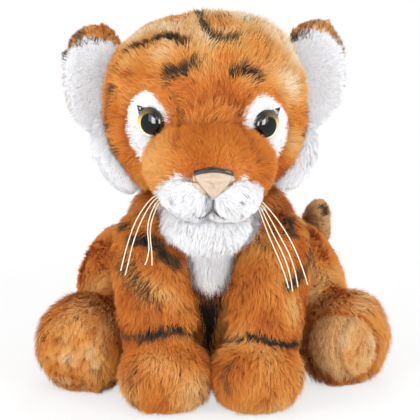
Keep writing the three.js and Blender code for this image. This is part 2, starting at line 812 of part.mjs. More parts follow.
function buildFace(eyeSurrounds) {
  const headSolid = join(headForm(-clearance));
  const snoutOuter = join(snoutForm(0));
  addPiece(
    headGroup,
    "snout_cover",
    cut(snoutOuter, join(snoutForm(fabric)), headSolid, ...eyeSurrounds),
    finishes.orangePile,
  );
  addPiece(
    headGroup,
    "snout_filling",
    cut(join(snoutForm(fabric + clearance)), headSolid),
    finishes.fibre,
  );

  const faceSkin = (inset) => [
    ...padForm("left", inset),
    ...padForm("right", inset),
    ...snoutForm(inset),
    ...chinForm(inset),
  ];
  const noseRegion = join(moved([facePrism(noseOutline(0))], headPose));
  const noseRoom = join(moved([facePrism(noseOutline(clearance))], headPose));
  addPiece(headGroup, "nose", applied(faceSkin, clearance, nose.thickness, noseRegion), finishes.nosePile);

  const seamCurve = new THREE.QuadraticBezierCurve(
    new THREE.Vector2(nose.x - nose.halfWidth, nose.top - nose.crown - stitch.width),
    new THREE.Vector2(nose.x, nose.top + nose.crown - stitch.width),
    new THREE.Vector2(nose.x + nose.halfWidth, nose.top - nose.crown - stitch.width),
  );
  const seamRegion = join(moved([faceBand(seamCurve, stitch.width, 8)], headPose));
  const onNose = nose.thickness + 2 * clearance;
  addPiece(
    headGroup,
    "nose_seam",
    applied(faceSkin, onNose, stitch.thickness, seamRegion),
    finishes.thread,
  );

  const snoutSkin = join(snoutForm(-clearance));
  const pads = {};
  for (const side of sides) {
    const others = side === "left" ? [] : [join(padForm("left", -clearance))];
    pads[side] = cut(join(padForm(side, 0)), snoutSkin, headSolid, ...others);
    addPiece(headGroup, `muzzle_pad_${side}`, pads[side], finishes.whitePile);
  }
  const padSkins = sides.map((side) => join(padForm(side, -clearance)));
  addPiece(
    headGroup,
    "chin_pad",
    cut(join(chinForm(0)), snoutSkin, headSolid, ...padSkins, underHead),
    finishes.whitePile,
  );

  const philtrum = new THREE.LineCurve(
    new THREE.Vector2(nose.x, nose.tip - clearance - stitch.width / 2),
    new THREE.Vector2(nose.x, mouth.junction - stitch.width / 2),
  );
  const lips = [1, -1].map(
    (way) =>
      new THREE.QuadraticBezierCurve(
        new THREE.Vector2(nose.x - (way * stitch.width) / 2, mouth.junction),
        new THREE.Vector2(nose.x + (way * mouth.reach) / 2, mouth.corner - mouth.sag),
        new THREE.Vector2(nose.x + way * mouth.reach, mouth.corner),
      ),
  );
  const lines = [philtrum, ...lips].map((curve) => moved([faceBand(curve, stitch.width, 4)], headPose)[0]);
  const mouthThread = cut(applied(faceSkin, clearance, stitch.thickness, join(lines)), noseRoom);
  addPiece(headGroup, "mouth_thread", mouthThread, finishes.thread);
}

function buildEars() {
  const headSolids = headForm(-clearance);
  const paths = {};
  for (const side of sides) {
    const root = sidePivot(earRoot, side);
    const folds = turns(root, Z, travel.ear);
    const headPath = swept(headSolids, inverted(folds));
    const group = addGroup(headGroup, root);
    addPiece(group, `ear_back_${side}`, cut(join(earForm(side, 0)), headPath), finishes.orangePile);
    const lining = applied((inset) => earForm(side, inset), clearance, earLining, join(earFrontForm(side)));
    addPiece(group, `ear_lining_${side}`, cut(lining, headPath), finishes.whitePile);
    paths[side] = swept(earForm(side, -(earLining + swingClearance)), folds);
  }
  return paths;
}

function buildCheeks(earPaths) {
  const headSolid = join(headForm(-clearance));
  const snoutSkin = join(snoutForm(-clearance));
  for (const side of sides) {
    const cheekSolid = cut(join(cheekForm(side, 0)), headSolid, snoutSkin, earPaths[side], underHead);
    addPiece(headGroup, `cheek_ruff_${side}`, cheekSolid, finishes.whitePile);
  }
}

function buildHead() {
  const holes = sides.map(buildEye);
  const passages = holes.map(({ passage }) => passage);
  const pockets = holes.map(({ pocket }) => pocket);
  const lockRooms = holes.map(({ lockRoom }) => lockRoom);
  const surrounds = holes.map(({ surround }) => surround);
  addPiece(
    headGroup,
    "head_cover",
    cut(join(headForm(0)), join(headForm(fabric)), neckSocket, underHead, ...passages, ...lockRooms),
    finishes.orangePile,
  );
  addPiece(
    headGroup,
    "head_filling",
    cut(join(headForm(fabric + clearance)), neckSocket, underHead, ...passages, ...pockets),
    finishes.fibre,
  );
  return surrounds;
}

function buildForeleg(side) {
  const pivot = sidePivot(shoulder, side);
  const group = addGroup(torsoGroup, pivot);
  const bodyPath = swept(torsoForm(-swingClearance), inverted(shoulders[side]));
  const shape = (inset) => forelegForm(side, inset);
  addPiece(
    group,
    `foreleg_cover_${side}`,
    cut(join(shape(0)), join(shape(fabric)), bodyPath, neckSocket, floor),
    finishes.orangePile,
  );
  addPiece(
    group,
    `foreleg_filling_${side}`,
    cut(join(shape(fabric + clearance)), bodyPath, neckSocket),
    finishes.fibre,
  );
  const middle = sidePivot(forepaw.to, side).x;
  for (const [place, way] of [["outer", 1], ["inner", -1]]) {
    const outward = side === "left" ? way : -way;
    const slice = new THREE.BoxGeometry(stitch.width, toe.far - toe.near, toe.high - toe.low);
    slice.translate(middle + outward * toe.spread, (toe.far + toe.near) / 2, (toe.high + toe.low) / 2);
    addPiece(
      group,
      `toe_thread_${place}_${side}`,
      applied(shape, clearance, stitch.thickness, solidOf(slice)),
      finishes.thread,
    );
  }
}

function buildHindleg(side) {
  const pivot = sidePivot(hip, side);
  const group = addGroup(torsoGroup, pivot);
  const lifts = inverted(turns(pivot, X, travel.hindleg));
  const bodyPath = swept(torsoForm(-hip.room), lifts);
  const legPath = lifts
    .map((lift) => join(moved([stuffedShoulder(side)], lift)))
    .reduce((whole, next) => whole.add(next));
  const shape = (inset) => hindlegForm(side, inset);
  addPiece(
    group,
    `hindleg_cover_${side}`,
    cut(join(shape(0)), join(shape(fabric)), bodyPath, legPath, floor),
    finishes.orangePile,
  );
  addPiece(
    group,
    `hindleg_filling_${side}`,
    cut(join(shape(fabric + clearance)), bodyPath, legPath),
    finishes.fibre,
  );
  const end = footEnd[side];
  const heading = new THREE.Vector3(end.x - ankle.x, end.y - ankle.y, 0).normalize();
  const disc = new THREE.CylinderGeometry(sole.radius, sole.radius, foot.halfWidth * 2, sole.around)
    .applyQuaternion(new THREE.Quaternion().setFromUnitVectors(Y, heading))
    .translate(end.x, end.y, foot.halfDepth - settle);
  const region = join(onSide(side, [disc]));
  addPiece(group, `foot_sole_${side}`, applied(shape, clearance, sole.thickness, region), finishes.solePile);
}

function buildTail() {
  const group = addGroup(torsoGroup, tailRoot);
  const swings = inverted(turns(tailRoot, Z, travel.tail));
  const haunches = sides.flatMap((side) => hindlegForm(side, -tail.room));
  const past = swept([...torsoForm(-swingClearance), ...haunches], swings);
  addPiece(group, "tail_cover", cut(join(tailForm(0)), join(tailForm(fabric)), past), finishes.orangePile);
  addPiece(group, "tail_filling", cut(join(tailForm(fabric + clearance)), past), finishes.fibre);
}

function buildWhiskers() {
  for (const [name, places] of Object.entries(whiskerPaths)) {
    const rootY = name.startsWith("left") ? whisker.leftRootY : whisker.rightRootY;
    const path = new THREE.CatmullRomCurve3(
      places.map(([x, z], i) => {
        const share = i / (places.length - 1);
        return new THREE.Vector3(x, THREE.MathUtils.lerp(rootY, whisker.tipY, share), z);
      }),
    );
    const section = new THREE.Shape();
    for (let i = 0; i < whisker.sides; i += 1) {
      const turn = (i / whisker.sides) * 2 * Math.PI;
      const corner = [whisker.radius * Math.cos(turn), whisker.radius * Math.sin(turn)];
      if (i === 0) section.moveTo(...corner);
      else section.lineTo(...corner);
    }
    const tube = new THREE.ExtrudeGeometry(section, {
      steps: whisker.steps,
      extrudePath: path,
      bevelEnabled: false,
    });
    addPiece(headGroup, `whisker_${name}`, solidOf(tube), finishes.whiskerThread);
  }
}

buildTorso();
buildFace(buildHead());
buildCheeks(buildEars());
for (const side of sides) {
  buildForeleg(side);
  buildHindleg(side);
}
buildTail();
buildWhiskers();

export default tiger;
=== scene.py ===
"""A sitting plush tiger cub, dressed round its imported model.

Every stuffed part gets a sewn skin that its filling swells, and a pile of real strands that is combed, clumped
and dyed in stripes. The eyes are glossy domes, and the whiskers are threads that hang from the muzzle.
"""

from __future__ import annotations

import logging
import math
from dataclasses import dataclass, field
from enum import IntEnum

import bmesh
import bpy
import numpy as np
from mathutils import Matrix, Vector
from mathutils.bvhtree import BVHTree
from mathutils.kdtree import KDTree


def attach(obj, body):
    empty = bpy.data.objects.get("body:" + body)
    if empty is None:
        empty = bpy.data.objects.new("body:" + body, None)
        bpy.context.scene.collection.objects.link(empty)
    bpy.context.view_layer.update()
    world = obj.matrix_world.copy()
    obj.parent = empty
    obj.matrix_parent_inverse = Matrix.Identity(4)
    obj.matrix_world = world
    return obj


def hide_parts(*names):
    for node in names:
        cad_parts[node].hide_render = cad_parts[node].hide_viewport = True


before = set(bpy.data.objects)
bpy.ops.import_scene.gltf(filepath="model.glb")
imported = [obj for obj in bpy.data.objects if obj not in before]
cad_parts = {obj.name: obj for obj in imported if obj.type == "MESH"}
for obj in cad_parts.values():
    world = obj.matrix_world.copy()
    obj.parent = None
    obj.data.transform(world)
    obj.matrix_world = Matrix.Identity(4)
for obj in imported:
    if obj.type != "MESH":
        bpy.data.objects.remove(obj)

log = logging.getLogger("plush_tiger")
Point = tuple[float, float, float]
Colour = tuple[int, int, int]

MM = 0.001
FLOOR_GAP = 0.2 * MM
LEAST_SWELL = 0.6  # the share of its swell that every place of a stuffed skin takes
PLAIN_SWELL = 0.8  # the share that a skin takes without a cloth simulation
SEED = 20
SIDES = {"left": 1.0, "right": -1.0}
X, Y, Z = 0, 1, 2
VIEWPOINT = (-0.75, -1274.7, 394.9)


def metres(places: list[Point] | Point) -> np.ndarray:
    """Millimetres in the toy's own frame as metres."""
    return np.array(places, dtype=float) * MM


def linear(colour: Colour) -> tuple[float, float, float, float]:
    """A colour as a paint chart gives it, as the linear values of a shader."""
    parts = [c / 255 for c in colour]
    return (*[c / 12.92 if c <= 0.04045 else ((c + 0.055) / 1.055) ** 2.4 for c in parts], 1.0)


def smooth_step(low: float, high: float, values: np.ndarray) -> np.ndarray:
    """Rises smoothly from 0 at low to 1 at high."""
    share = np.clip((values - low) / (high - low), 0, 1)
    return share * share * (3 - 2 * share)


def rise(places: np.ndarray, axis: int, low: float, high: float) -> np.ndarray:
    """The share from 0 to 1 by which places have come from low to high along an axis, in millimetres."""
    return smooth_step(low * MM, high * MM, places[:, axis])


def unit(vectors: np.ndarray) -> np.ndarray:
    """Rows of vectors, each scaled to a length of 1."""
    return vectors / np.maximum(np.linalg.norm(vectors, axis=-1, keepdims=True), 1e-9)


def slow_noise(places: np.ndarray, size: float, seed: int) -> np.ndarray:
    """Smooth noise over space, about -1 to 1, made of a few plane waves.

    Args:
        places: Places in metres, one to a row.
        size: The size of a patch in metres.
        seed: Which noise.

    Returns:
        One value for each place.
    """
    rng = np.random.default_rng(seed)
    waves = unit(rng.normal(size=(7, 3))) * rng.uniform(0.6, 1.5, (7, 1)) * (math.pi / size)
    return np.sin(places @ waves.T + rng.uniform(0, 2 * math.pi, 7)).sum(axis=1) / 3.2


# Colours of the pile


class Tone(IntEnum):
    """The dyes of the pile, in an order in which neighbours blend."""

    WHITE = 0
    SMOKE = 1
    CREAM = 2
    TAN = 3
    APRICOT = 4
    ORANGE = 5
    RUST = 6
    UMBER = 7
    OLIVE = 8
    SOOT = 9


# Root colours: darker than the tips, partly for the pile's frosted tips and partly as painted shade deep in the pile
ROOT_DYES_WITH_PAINTED_SHADE: dict[Tone, Colour] = {
    Tone.WHITE: (240, 240, 243),
    Tone.SMOKE: (140, 140, 146),
    Tone.CREAM: (228, 200, 156),
    Tone.TAN: (206, 146, 84),
    Tone.APRICOT: (204, 122, 52),
    Tone.ORANGE: (190, 96, 26),
    Tone.RUST: (152, 64, 14),
    Tone.UMBER: (84, 44, 20),
    Tone.OLIVE: (38, 29, 20),
    Tone.SOOT: (14, 11, 10),
}
TIP_DYES: dict[Tone, Colour] = {
    Tone.WHITE: (252, 252, 253),
    Tone.SMOKE: (192, 192, 198),
    Tone.CREAM: (252, 238, 212),
    Tone.TAN: (244, 202, 138),
    Tone.APRICOT: (238, 172, 90),
    Tone.ORANGE: (226, 140, 54),
    Tone.RUST: (204, 108, 36),
    Tone.UMBER: (140, 88, 44),
    Tone.OLIVE: (112, 88, 56),
    Tone.SOOT: (38, 31, 26),
}
# The velour's roots are darker than its tips, as painted shade deep in the pile
VELOUR_ROOTS_WITH_PAINTED_SHADE: dict[Tone, Colour] = {tone: (214, 189, 165) for tone in Tone} | {Tone.SOOT: (40, 31, 26)}
VELOUR_TIPS: dict[Tone, Colour] = {tone: (228, 214, 196) for tone in Tone} | {
    Tone.RUST: (205, 160, 125),
    Tone.SOOT: (52, 41, 34),
}


class NodeKit:
    """Adds shader nodes to a tree and links them."""

    def __init__(self, tree: bpy.types.NodeTree) -> None:
        """Takes the node tree of a material, a group or the surroundings."""
        self.tree = tree

    def add(self, kind: str, inputs: dict | None = None, **settings: object) -> bpy.types.Node:
        """Adds one node.

        Args:
            kind: The node's type name.
            inputs: Values or output sockets, by the name or index of the input.
            settings: Properties of the node.

        Returns:
            The new node.
        """
        node = self.tree.nodes.new(kind)
        for name, value in settings.items():
            setattr(node, name, value)
        for name, value in (inputs or {}).items():
            if isinstance(value, bpy.types.NodeSocket):
                self.tree.links.new(value, node.inputs[name])
            else:
                node.inputs[name].default_value = value
        return node

    def math(self, operation: str, first: object, second: object = 0.0, clamp: bool = False) -> bpy.types.NodeSocket:
        """The result of a Math node on two values or sockets, kept from 0 to 1 if clamped."""
        return self.add("ShaderNodeMath", {0: first, 1: second}, operation=operation, use_clamp=clamp).outputs[0]

    def blend(self, share: object, first: object, second: object) -> bpy.types.NodeSocket:
        """A colour between the first one, at a share of 0, and the second one, at 1."""
        return self.add("ShaderNodeMix", {0: share, 6: first, 7: second}, data_type="RGBA").outputs[2]

    def place(self) -> bpy.types.NodeSocket:
        """The place on the object itself."""
        return self.add("ShaderNodeTexCoord").outputs["Object"]

    def grain(self, scale: float, detail: float = 2.0) -> bpy.types.NodeSocket:
        """Noise over the object, about 0 to 1."""
        inputs = {"Vector": self.place(), "Scale": scale, "Detail": detail}
        return self.add("ShaderNodeTexNoise", inputs).outputs["Fac"]

    def bump(self, height: bpy.types.NodeSocket, strength: float, distance: float) -> bpy.types.NodeSocket:
        """The normal of a surface that a height raises by a distance in metres."""
        return self.add("ShaderNodeBump", {"Strength": strength, "Distance": distance, "Height": height}).outputs[0]

    def ramp(self, factor: object, stops: list[tuple[float, tuple]]) -> bpy.types.NodeSocket:
        """Adds a colour ramp.

        Args:
            factor: The value that it reads.
            stops: Places from 0 to 1 with their linear colours.

        Returns:
            The colour's socket.
        """
        node = self.add("ShaderNodeValToRGB", {0: factor})
        band = node.color_ramp.elements
        band[0].position, band[0].color = stops[0]
        band[1].position, band[1].color = stops[-1]
        for place, colour in stops[1:-1]:
            band.new(place).color = colour
        return node.outputs[0]

    def surface(self, inputs: dict, kind: str = "ShaderNodeBsdfPrincipled") -> None:
        """Adds the shader that the material shows."""
        self.add("ShaderNodeOutputMaterial", {"Surface": self.add(kind, inputs).outputs[0]})


def new_material(name: str) -> tuple[bpy.types.Material, NodeKit]:
    """Starts an empty node material.

    Args:
        name: The material's name.

    Returns:
        The material, and a kit for its nodes.
    """
    material = bpy.data.materials.new(name)
    material.use_nodes = True
    material.node_tree.nodes.clear()
    return material, NodeKit(material.node_tree)


def new_group(name: str, inputs: dict[str, str], outputs: dict[str, str]) -> tuple[bpy.types.NodeTree, NodeKit]:
    """Starts a shader node group.

    Args:
        name: The group's name.
        inputs: Socket types by input name, without the first word.
        outputs: Socket types by output name, without the first word.

    Returns:
        The group, and a kit for its nodes.
    """
    group = bpy.data.node_groups.new(name, "ShaderNodeTree")
    for way, sockets in (("INPUT", inputs), ("OUTPUT", outputs)):
        for socket, kind in sockets.items():
            group.interface.new_socket(name=socket, in_out=way, socket_type="NodeSocket" + kind)
    return group, NodeKit(group)


def dye_group(name: str, roots: dict[Tone, Colour], tips: dict[Tone, Colour]) -> bpy.types.NodeTree:
    """The colour of the pile from its dye and the place along a strand, darker at the root partly as painted shade.

    Args:
        name: The group's name.
        roots: The colour of each dye at the root of a strand, darkened partly as painted shade deep in the pile.
        tips: The colour of each dye at the tip.

    Returns:
        A group that turns Tone and Along, each from 0 to 1, into Colour.
    """
    group, kit = new_group(name, {"Tone": "Float", "Along": "Float"}, {"Colour": "Color"})
    tone, along = kit.add("NodeGroupInput").outputs[:2]
    ends = [kit.ramp(tone, [((dye + 0.5) / len(Tone), linear(dyes[dye])) for dye in Tone]) for dyes in (roots, tips)]
    # Blends from the root colour, with its painted shade, to the tip
    rise = kit.math("POWER", along, 1.2, clamp=True)
    kit.add("NodeGroupOutput", {"Colour": kit.blend(rise, *ends)})
    return group


def cloth_group() -> bpy.types.NodeTree:
    """The height of a knitted backing cloth.

    Returns:
        A group that turns a Scale into a Height.
    """
    group, kit = new_group("backing_knit", {"Scale": "Float"}, {"Height": "Float"})
    scale = kit.add("NodeGroupInput").outputs["Scale"]
    ribs = kit.add("ShaderNodeTexVoronoi", {"Vector": kit.place(), "Scale": scale})
    kit.add("NodeGroupOutput", {"Height": kit.math("ADD", ribs.outputs["Distance"], kit.grain(900.0, 3.0))})
    return group


@dataclass(frozen=True)
class PileFinish:
    """The finish of pile strands: soft fibre whose dye, lighter tip and painted shade at the root come from the
    strand's own map.
    """

    name: str
    dye: bpy.types.NodeTree
    roughness: float = 0.75
    sheen: float = 0.05

    def material(self) -> bpy.types.Material:
        """Builds the material.

        Returns:
            The material of the strands.
        """
        material, kit = new_material(self.name)
        place = kit.add("ShaderNodeUVMap", uv_map="OFBake").outputs[0]
        tone, along = kit.add("ShaderNodeSeparateXYZ", {0: place}).outputs[:2]
        dyed = kit.add("ShaderNodeGroup", {"Tone": tone, "Along": along}, node_tree=self.dye)
        kit.surface({
            "Base Color": dyed.outputs["Colour"],
            "Roughness": self.roughness,
            "Specular IOR Level": 0.12,
            "Sheen Weight": self.sheen,
            "Sheen Roughness": 0.4,
        })
        return material


@dataclass(frozen=True)
class SkinFinish:
    """The finish of the cloth under the pile: knitted backing in the dye of its strands' roots, with their painted
    shade.
    """

    name: str
    dye: bpy.types.NodeTree
    knit: bpy.types.NodeTree
    along: float = 0.24

    def material(self) -> bpy.types.Material:
        """Builds the material.

        Returns:
            The material of the backing cloth.
        """
        material, kit = new_material(self.name)
        tone = kit.add("ShaderNodeAttribute", attribute_name="tone").outputs["Fac"]
        dyed = kit.add("ShaderNodeGroup", {"Tone": tone, "Along": self.along}, node_tree=self.dye)
        knit = kit.add("ShaderNodeGroup", {"Scale": 700.0}, node_tree=self.knit)
        kit.surface({
            "Base Color": dyed.outputs["Colour"],
            "Roughness": 0.9,
            "Specular IOR Level": 0.2,
            "Sheen Weight": 0.2,
            "Normal": kit.bump(knit.outputs["Height"], 0.4, 0.4 * MM),
        })
        return material


@dataclass(frozen=True)
class GrainFinish:
    """A plain cloth, felt, thread, fibre or moulded finish with a fine grain."""

    name: str
    colour: Colour
    shade: Colour
    grain: float = 1500.0
    detail: float = 4.0
    depth: float = 0.3
    strength: float = 0.5
    roughness: float = 0.9
    sheen: float = 0.1
    gloss: float = 0.3

    def material(self) -> bpy.types.Material:
        """Builds the material.

        Returns:
            The material.
        """
        material, kit = new_material(self.name)
        grain = kit.grain(self.grain, self.detail)
        kit.surface({
            "Base Color": kit.blend(grain, linear(self.shade), linear(self.colour)),
            "Roughness": self.roughness,
            "Sheen Weight": self.sheen,
            "Specular IOR Level": self.gloss,
            "Normal": kit.bump(grain, self.strength, self.depth * MM),
        })
        return material


@dataclass(frozen=True)
class EyeFinish:
    """A glossy moulded eye: a black pupil in a gold ring, with painted shade that darkens the ring to olive at the
    top, under a clear coat.

    Sizes and places are shares of the dome's radius, and a positive place across lies nearer the nose.
    """

    name: str
    pupil: float = 0.68
    offset: tuple[float, float] = (0.27, -0.06)
    rim: float = 0.955
    # From the bottom of the ring (0) to its top (1): gold, then olive as painted shade
    gold: tuple[tuple[float, Colour], ...] = (
        (0.0, (254, 250, 222)),
        (0.3, (250, 234, 172)),
        (0.56, (228, 192, 110)),
        (0.76, (122, 104, 62)),
        (1.0, (44, 40, 28)),
    )

    def material(self) -> bpy.types.Material:
        """Builds the material, which reads the dome's own map from -1 to 1 across.

        Returns:
            The material of the dome.
        """
        material, kit = new_material(self.name)
        place = kit.add("ShaderNodeUVMap", uv_map="dome").outputs[0]
        across, up = kit.add("ShaderNodeSeparateXYZ", {0: place}).outputs[:2]
        height = kit.add("ShaderNodeMath", {0: up, 1: 0.5, 2: 0.5}, operation="MULTIPLY_ADD").outputs[0]
        # The ring's colour by height, with painted shade darkening its top
        ring = kit.ramp(height, [(place, linear(colour)) for place, colour in self.gold])
        inner = kit.math("MULTIPLY", kit.math("SUBTRACT", across, 0.1), 2.4, clamp=True)
        ring = kit.blend(inner, ring, linear((34, 30, 22)))
        pupil = self.disc(kit, (across, up), self.offset, self.pupil, 30.0)
        edge = self.disc(kit, (across, up), (0.0, 0.0), self.rim, 40.0)
        colour = kit.blend(pupil, linear((6, 5, 5)), ring)
        kit.surface({
            "Base Color": kit.blend(edge, colour, linear((52, 44, 30))),
            "Roughness": 0.3,
            "Specular IOR Level": 0.0,
            "Coat Weight": 1.0,
            "Coat IOR": 1.36,
            "Coat Roughness": 0.02,
        })
        return material

    def disc(
        self,
        kit: NodeKit,
        place: tuple[bpy.types.NodeSocket, bpy.types.NodeSocket],
        middle: tuple[float, float],
        radius: float,
        sharp: float,
    ) -> bpy.types.NodeSocket:
        """A mask that is 0 inside a disc and 1 outside it.

        Args:
            kit: The material's nodes.
            place: The place across and up the dome.
            middle: The disc's middle.
            radius: The disc's radius.
            sharp: How sharp its edge is.

        Returns:
            The mask's socket.
        """
        gaps = [kit.math("SUBTRACT", way, start) for way, start in zip(place, middle)]
        squares = kit.math("ADD", *[kit.math("MULTIPLY", gap, gap) for gap in gaps])
        away = kit.math("SUBTRACT", kit.math("SQRT", squares), radius)
        return kit.math("MULTIPLY", away, sharp, clamp=True)


# Mesh helpers


def new_object(name: str, data: bpy.types.ID) -> bpy.types.Object:
    """Puts a mesh, a curve, a lamp or a camera in the scene.

    Args:
        name: The object's name.
        data: What it shows.

    Returns:
        The object.
    """
    thing = bpy.data.objects.new(name, data)
    bpy.context.scene.collection.objects.link(thing)
    return thing


def mesh_from(form: bmesh.types.BMesh, name: str) -> bpy.types.Mesh:
    """Writes a form into a new mesh and frees it.

    Args:
        form: The form.
        name: The mesh's name.

    Returns:
        The mesh.
    """
    mesh = bpy.data.meshes.new(name)
    form.to_mesh(mesh)
    form.free()
    return mesh


def applied(thing: bpy.types.Object) -> None:
    """Applies all modifiers of an object to its mesh.

    Args:
        thing: The object.
    """
    shaped = bpy.data.meshes.new_from_object(thing.evaluated_get(bpy.context.evaluated_depsgraph_get()))
    thing.modifiers.clear()
    old = thing.data
    thing.data = shaped
    bpy.data.meshes.remove(old)


def places_of(mesh: bpy.types.Mesh) -> np.ndarray:
    """The vertices of a mesh.

    Args:
        mesh: The mesh.

    Returns:
        One place to a row.
    """
    flat = np.empty(len(mesh.vertices) * 3)
    mesh.vertices.foreach_get("co", flat)
    return flat.reshape(-1, 3)


def set_places(mesh: bpy.types.Mesh, places: np.ndarray) -> None:
    """Moves the vertices of a mesh."""
    mesh.vertices.foreach_set("co", places.ravel())
    mesh.update()


def normals_of(mesh: bpy.types.Mesh) -> np.ndarray:
    """The vertex normals of a mesh.

    Args:
        mesh: The mesh.

    Returns:
        One normal to a row.
    """
    flat = np.empty(len(mesh.vertices) * 3)
    mesh.vertex_normals.foreach_get("vector", flat)
    return flat.reshape(-1, 3)


def outermost(form: bmesh.types.BMesh) -> None:
    """Deletes all but the largest connected shell.

    Args:
        form: The mesh to clean.
    """
    form.verts.ensure_lookup_table()
    seen = [False] * len(form.verts)
    shells: list[list[bmesh.types.BMVert]] = []
    for start in form.verts:
        if seen[start.index]:
            continue
        seen[start.index] = True
        shell, front = [start], [start]
        while front:
            vert = front.pop()
            for edge in vert.link_edges:
                other = edge.other_vert(vert)
                if not seen[other.index]:
                    seen[other.index] = True
                    shell.append(other)
                    front.append(other)
        shells.append(shell)
    shells.sort(key=len, reverse=True)
    spare = [vert for shell in shells[1:] for vert in shell]
    if spare:
        bmesh.ops.delete(form, geom=spare, context="VERTS")


def joined_copy(name: str, nodes: tuple[str, ...]) -> bpy.types.Object:
    """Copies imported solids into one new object, with their loose triangles merged.

    Args:
        name: The new object's name.
        nodes: The names of the solids.

    Returns:
        The new object.
    """
    form = bmesh.new()
    for node in nodes:
        form.from_mesh(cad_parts[node].data)
    bmesh.ops.remove_doubles(form, verts=form.verts, dist=1e-6)
    return new_object(name, mesh_from(form, name))


# Skins


@dataclass
class Skin:
    """The sewn skin of a stuffed part or a pile panel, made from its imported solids."""

    name: str
    nodes: tuple[str, ...]
    body: str
    slot: str
    finish: bpy.types.Material
    voxel: float = 4 * MM
    inset: float = 1.0 * MM
    swell: float = 1.6 * MM
    rounds: int = 6
    refine: int = 1
    fill: float = 0.7
    thing: bpy.types.Object | None = None
    start: np.ndarray | None = None
    facing: np.ndarray | None = None

    def cut_out(self) -> None:
        """Makes the closed, evenly meshed skin, a little smaller than the solid."""
        self.thing = joined_copy(self.name, self.nodes)
        remesh = self.thing.modifiers.new("even", "REMESH")
        remesh.mode = "VOXEL"
        remesh.voxel_size = self.voxel
        applied(self.thing)
        mesh = self.thing.data
        form = bmesh.new()
        form.from_mesh(mesh)
        outermost(form)
        every_way = dict.fromkeys(("use_axis_x", "use_axis_y", "use_axis_z"), True)
        for _ in range(self.rounds):
            bmesh.ops.smooth_vert(form, verts=form.verts, factor=0.5, **every_way)
        bmesh.ops.recalc_face_normals(form, faces=form.faces)
        form.to_mesh(mesh)
        form.free()
        self.facing = normals_of(mesh)
        self.start = places_of(mesh) - self.facing * self.inset
        set_places(mesh, self.start)

    def stuff(self) -> None:
        """Adds the cloth that the filling presses out."""
        cloth = self.thing.modifiers.new("filling", "CLOTH")
        cloth.settings.quality = 4
        cloth.settings.use_pressure = True
        cloth.settings.uniform_pressure_force = 4.0
        cloth.settings.tension_stiffness = 20.0
        cloth.settings.compression_stiffness = 20.0
        cloth.settings.bending_stiffness = 1.0
        cloth.settings.effector_weights.gravity = 0.0
        cloth.collision_settings.use_collision = False
        cloth.collision_settings.use_self_collision = False

    def settle(self) -> None:
        """Keeps the swollen shape within its limit, rests it on the floor and refines it."""
        mesh = self.thing.data
        if self.thing.modifiers:
            applied(self.thing)
            mesh = self.thing.data
            move = ((places_of(mesh) - self.start) * self.facing).sum(axis=1)
            low, high = np.percentile(move, (5, 95))
            share = np.clip((move - low) / max(float(high - low), 1e-9), 0, 1)
            held = self.start + self.facing * (self.swell * (LEAST_SWELL + (1 - LEAST_SWELL) * share))[:, None]
        else:
            held = self.start + self.facing * self.swell * PLAIN_SWELL
        self.rest_on_floor(held)
        if self.refine:
            finer = self.thing.modifiers.new("finer", "SUBSURF")
            finer.levels = finer.render_levels = self.refine
            applied(self.thing)
        mesh = self.thing.data
        self.rest_on_floor(places_of(mesh))
        mesh.shade_smooth()
        mesh.materials.clear()
        mesh.materials.append(self.finish)
        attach(self.thing, self.body)
        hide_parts(*self.nodes)

    def rest_on_floor(self, places: np.ndarray) -> None:
        """Moves the skin to new places, pressed flat where it would sink into the floor."""
        places[:, Z] = np.maximum(places[:, Z], FLOOR_GAP)
        set_places(self.thing.data, places)

    def dye(self, tones: np.ndarray) -> None:
        """Dyes the cloth."""
        layer = self.thing.data.attributes.new("tone", "FLOAT", "POINT")
        layer.data.foreach_set("value", ((tones + 0.5) / len(Tone)).astype(np.float32))


# Pile


@dataclass(frozen=True)
class Stroke:
    """A dyed stripe, or painted shade along a crease, along a route on the skin, in millimetres."""

    route: tuple[Point, ...]
    width: float
    tone: Tone = Tone.SOOT
    strength: float = 0.95
    soft: float = 1.6


@dataclass(frozen=True)
class Region:
    """An area of one dye, or of painted light or shade, inside an outline of places across and up as seen from the
    front, in millimetres.
    """

    outline: tuple[tuple[float, float], ...]
    tone: float = Tone.WHITE
    depth: float = -108.0
    soft: float = 1.0
    outside: bool = False
    facing: float = 2.0
    cut: float = 1.0
    back: float = 200.0

    def share(self, places: np.ndarray, normals: np.ndarray) -> np.ndarray:
        """How much of the area's dye each place takes.

        Args:
            places: Places in metres, one to a row.
            normals: The skin's normals there.

        Returns:
            A share from 0 to 1 for each place.
        """
        eye = metres(VIEWPOINT)
        reach = (self.depth * MM - eye[Y]) / (places[:, Y] - eye[Y])
        seen = (eye + (places - eye) * reach[:, None])[:, [X, Z]] / MM
        corners = np.array(self.outline, dtype=float)
        inside = np.zeros(len(seen), dtype=bool)
        away = np.full(len(seen), np.inf)
        for first, second in zip(corners, np.roll(corners, -1, axis=0)):
            edge = second - first
            along = np.clip(((seen - first) @ edge) / max(float(edge @ edge), 1e-9), 0, 1)
            away = np.minimum(away, np.linalg.norm(seen - first - along[:, None] * edge, axis=1))
            crosses = (first[1] > seen[:, 1]) != (second[1] > seen[:, 1])
            climb = edge[1] if edge[1] != 0 else 1e-9
            inside ^= crosses & (seen[:, 0] < first[0] + (seen[:, 1] - first[1]) * edge[0] / climb)
        signed = np.where(inside, away, -away) * (-1 if self.outside else 1)
        front = (normals[:, Y] < self.facing) & (places[:, Y] < self.back * MM)
        return smooth_step(-self.soft, self.soft, signed) * front


@dataclass(frozen=True)
class Comb:
    """Which way the pile lies: away from a source, and down along a fall."""

    source: Point
    spread: float
    fall: Point = (0.0, 0.0, -1.0)


@dataclass(frozen=True)
class Coat:
    """How the pile of one skin is cut, combed and dyed, with lengths in millimetres."""

    length: float
    density: float
    tone: float
    comb: Comb
    width: float = 0.42
    lift: float = 0.62
    mess: float = 0.22
    clump: float = 4.5
    pull: float = 0.4
    vary: float = 0.55
    patch: float = 16.0
    strokes: tuple[Stroke, ...] = ()
    regions: tuple[Region, ...] = ()
    most: int = 64000
    bare_floor: float = 3.0


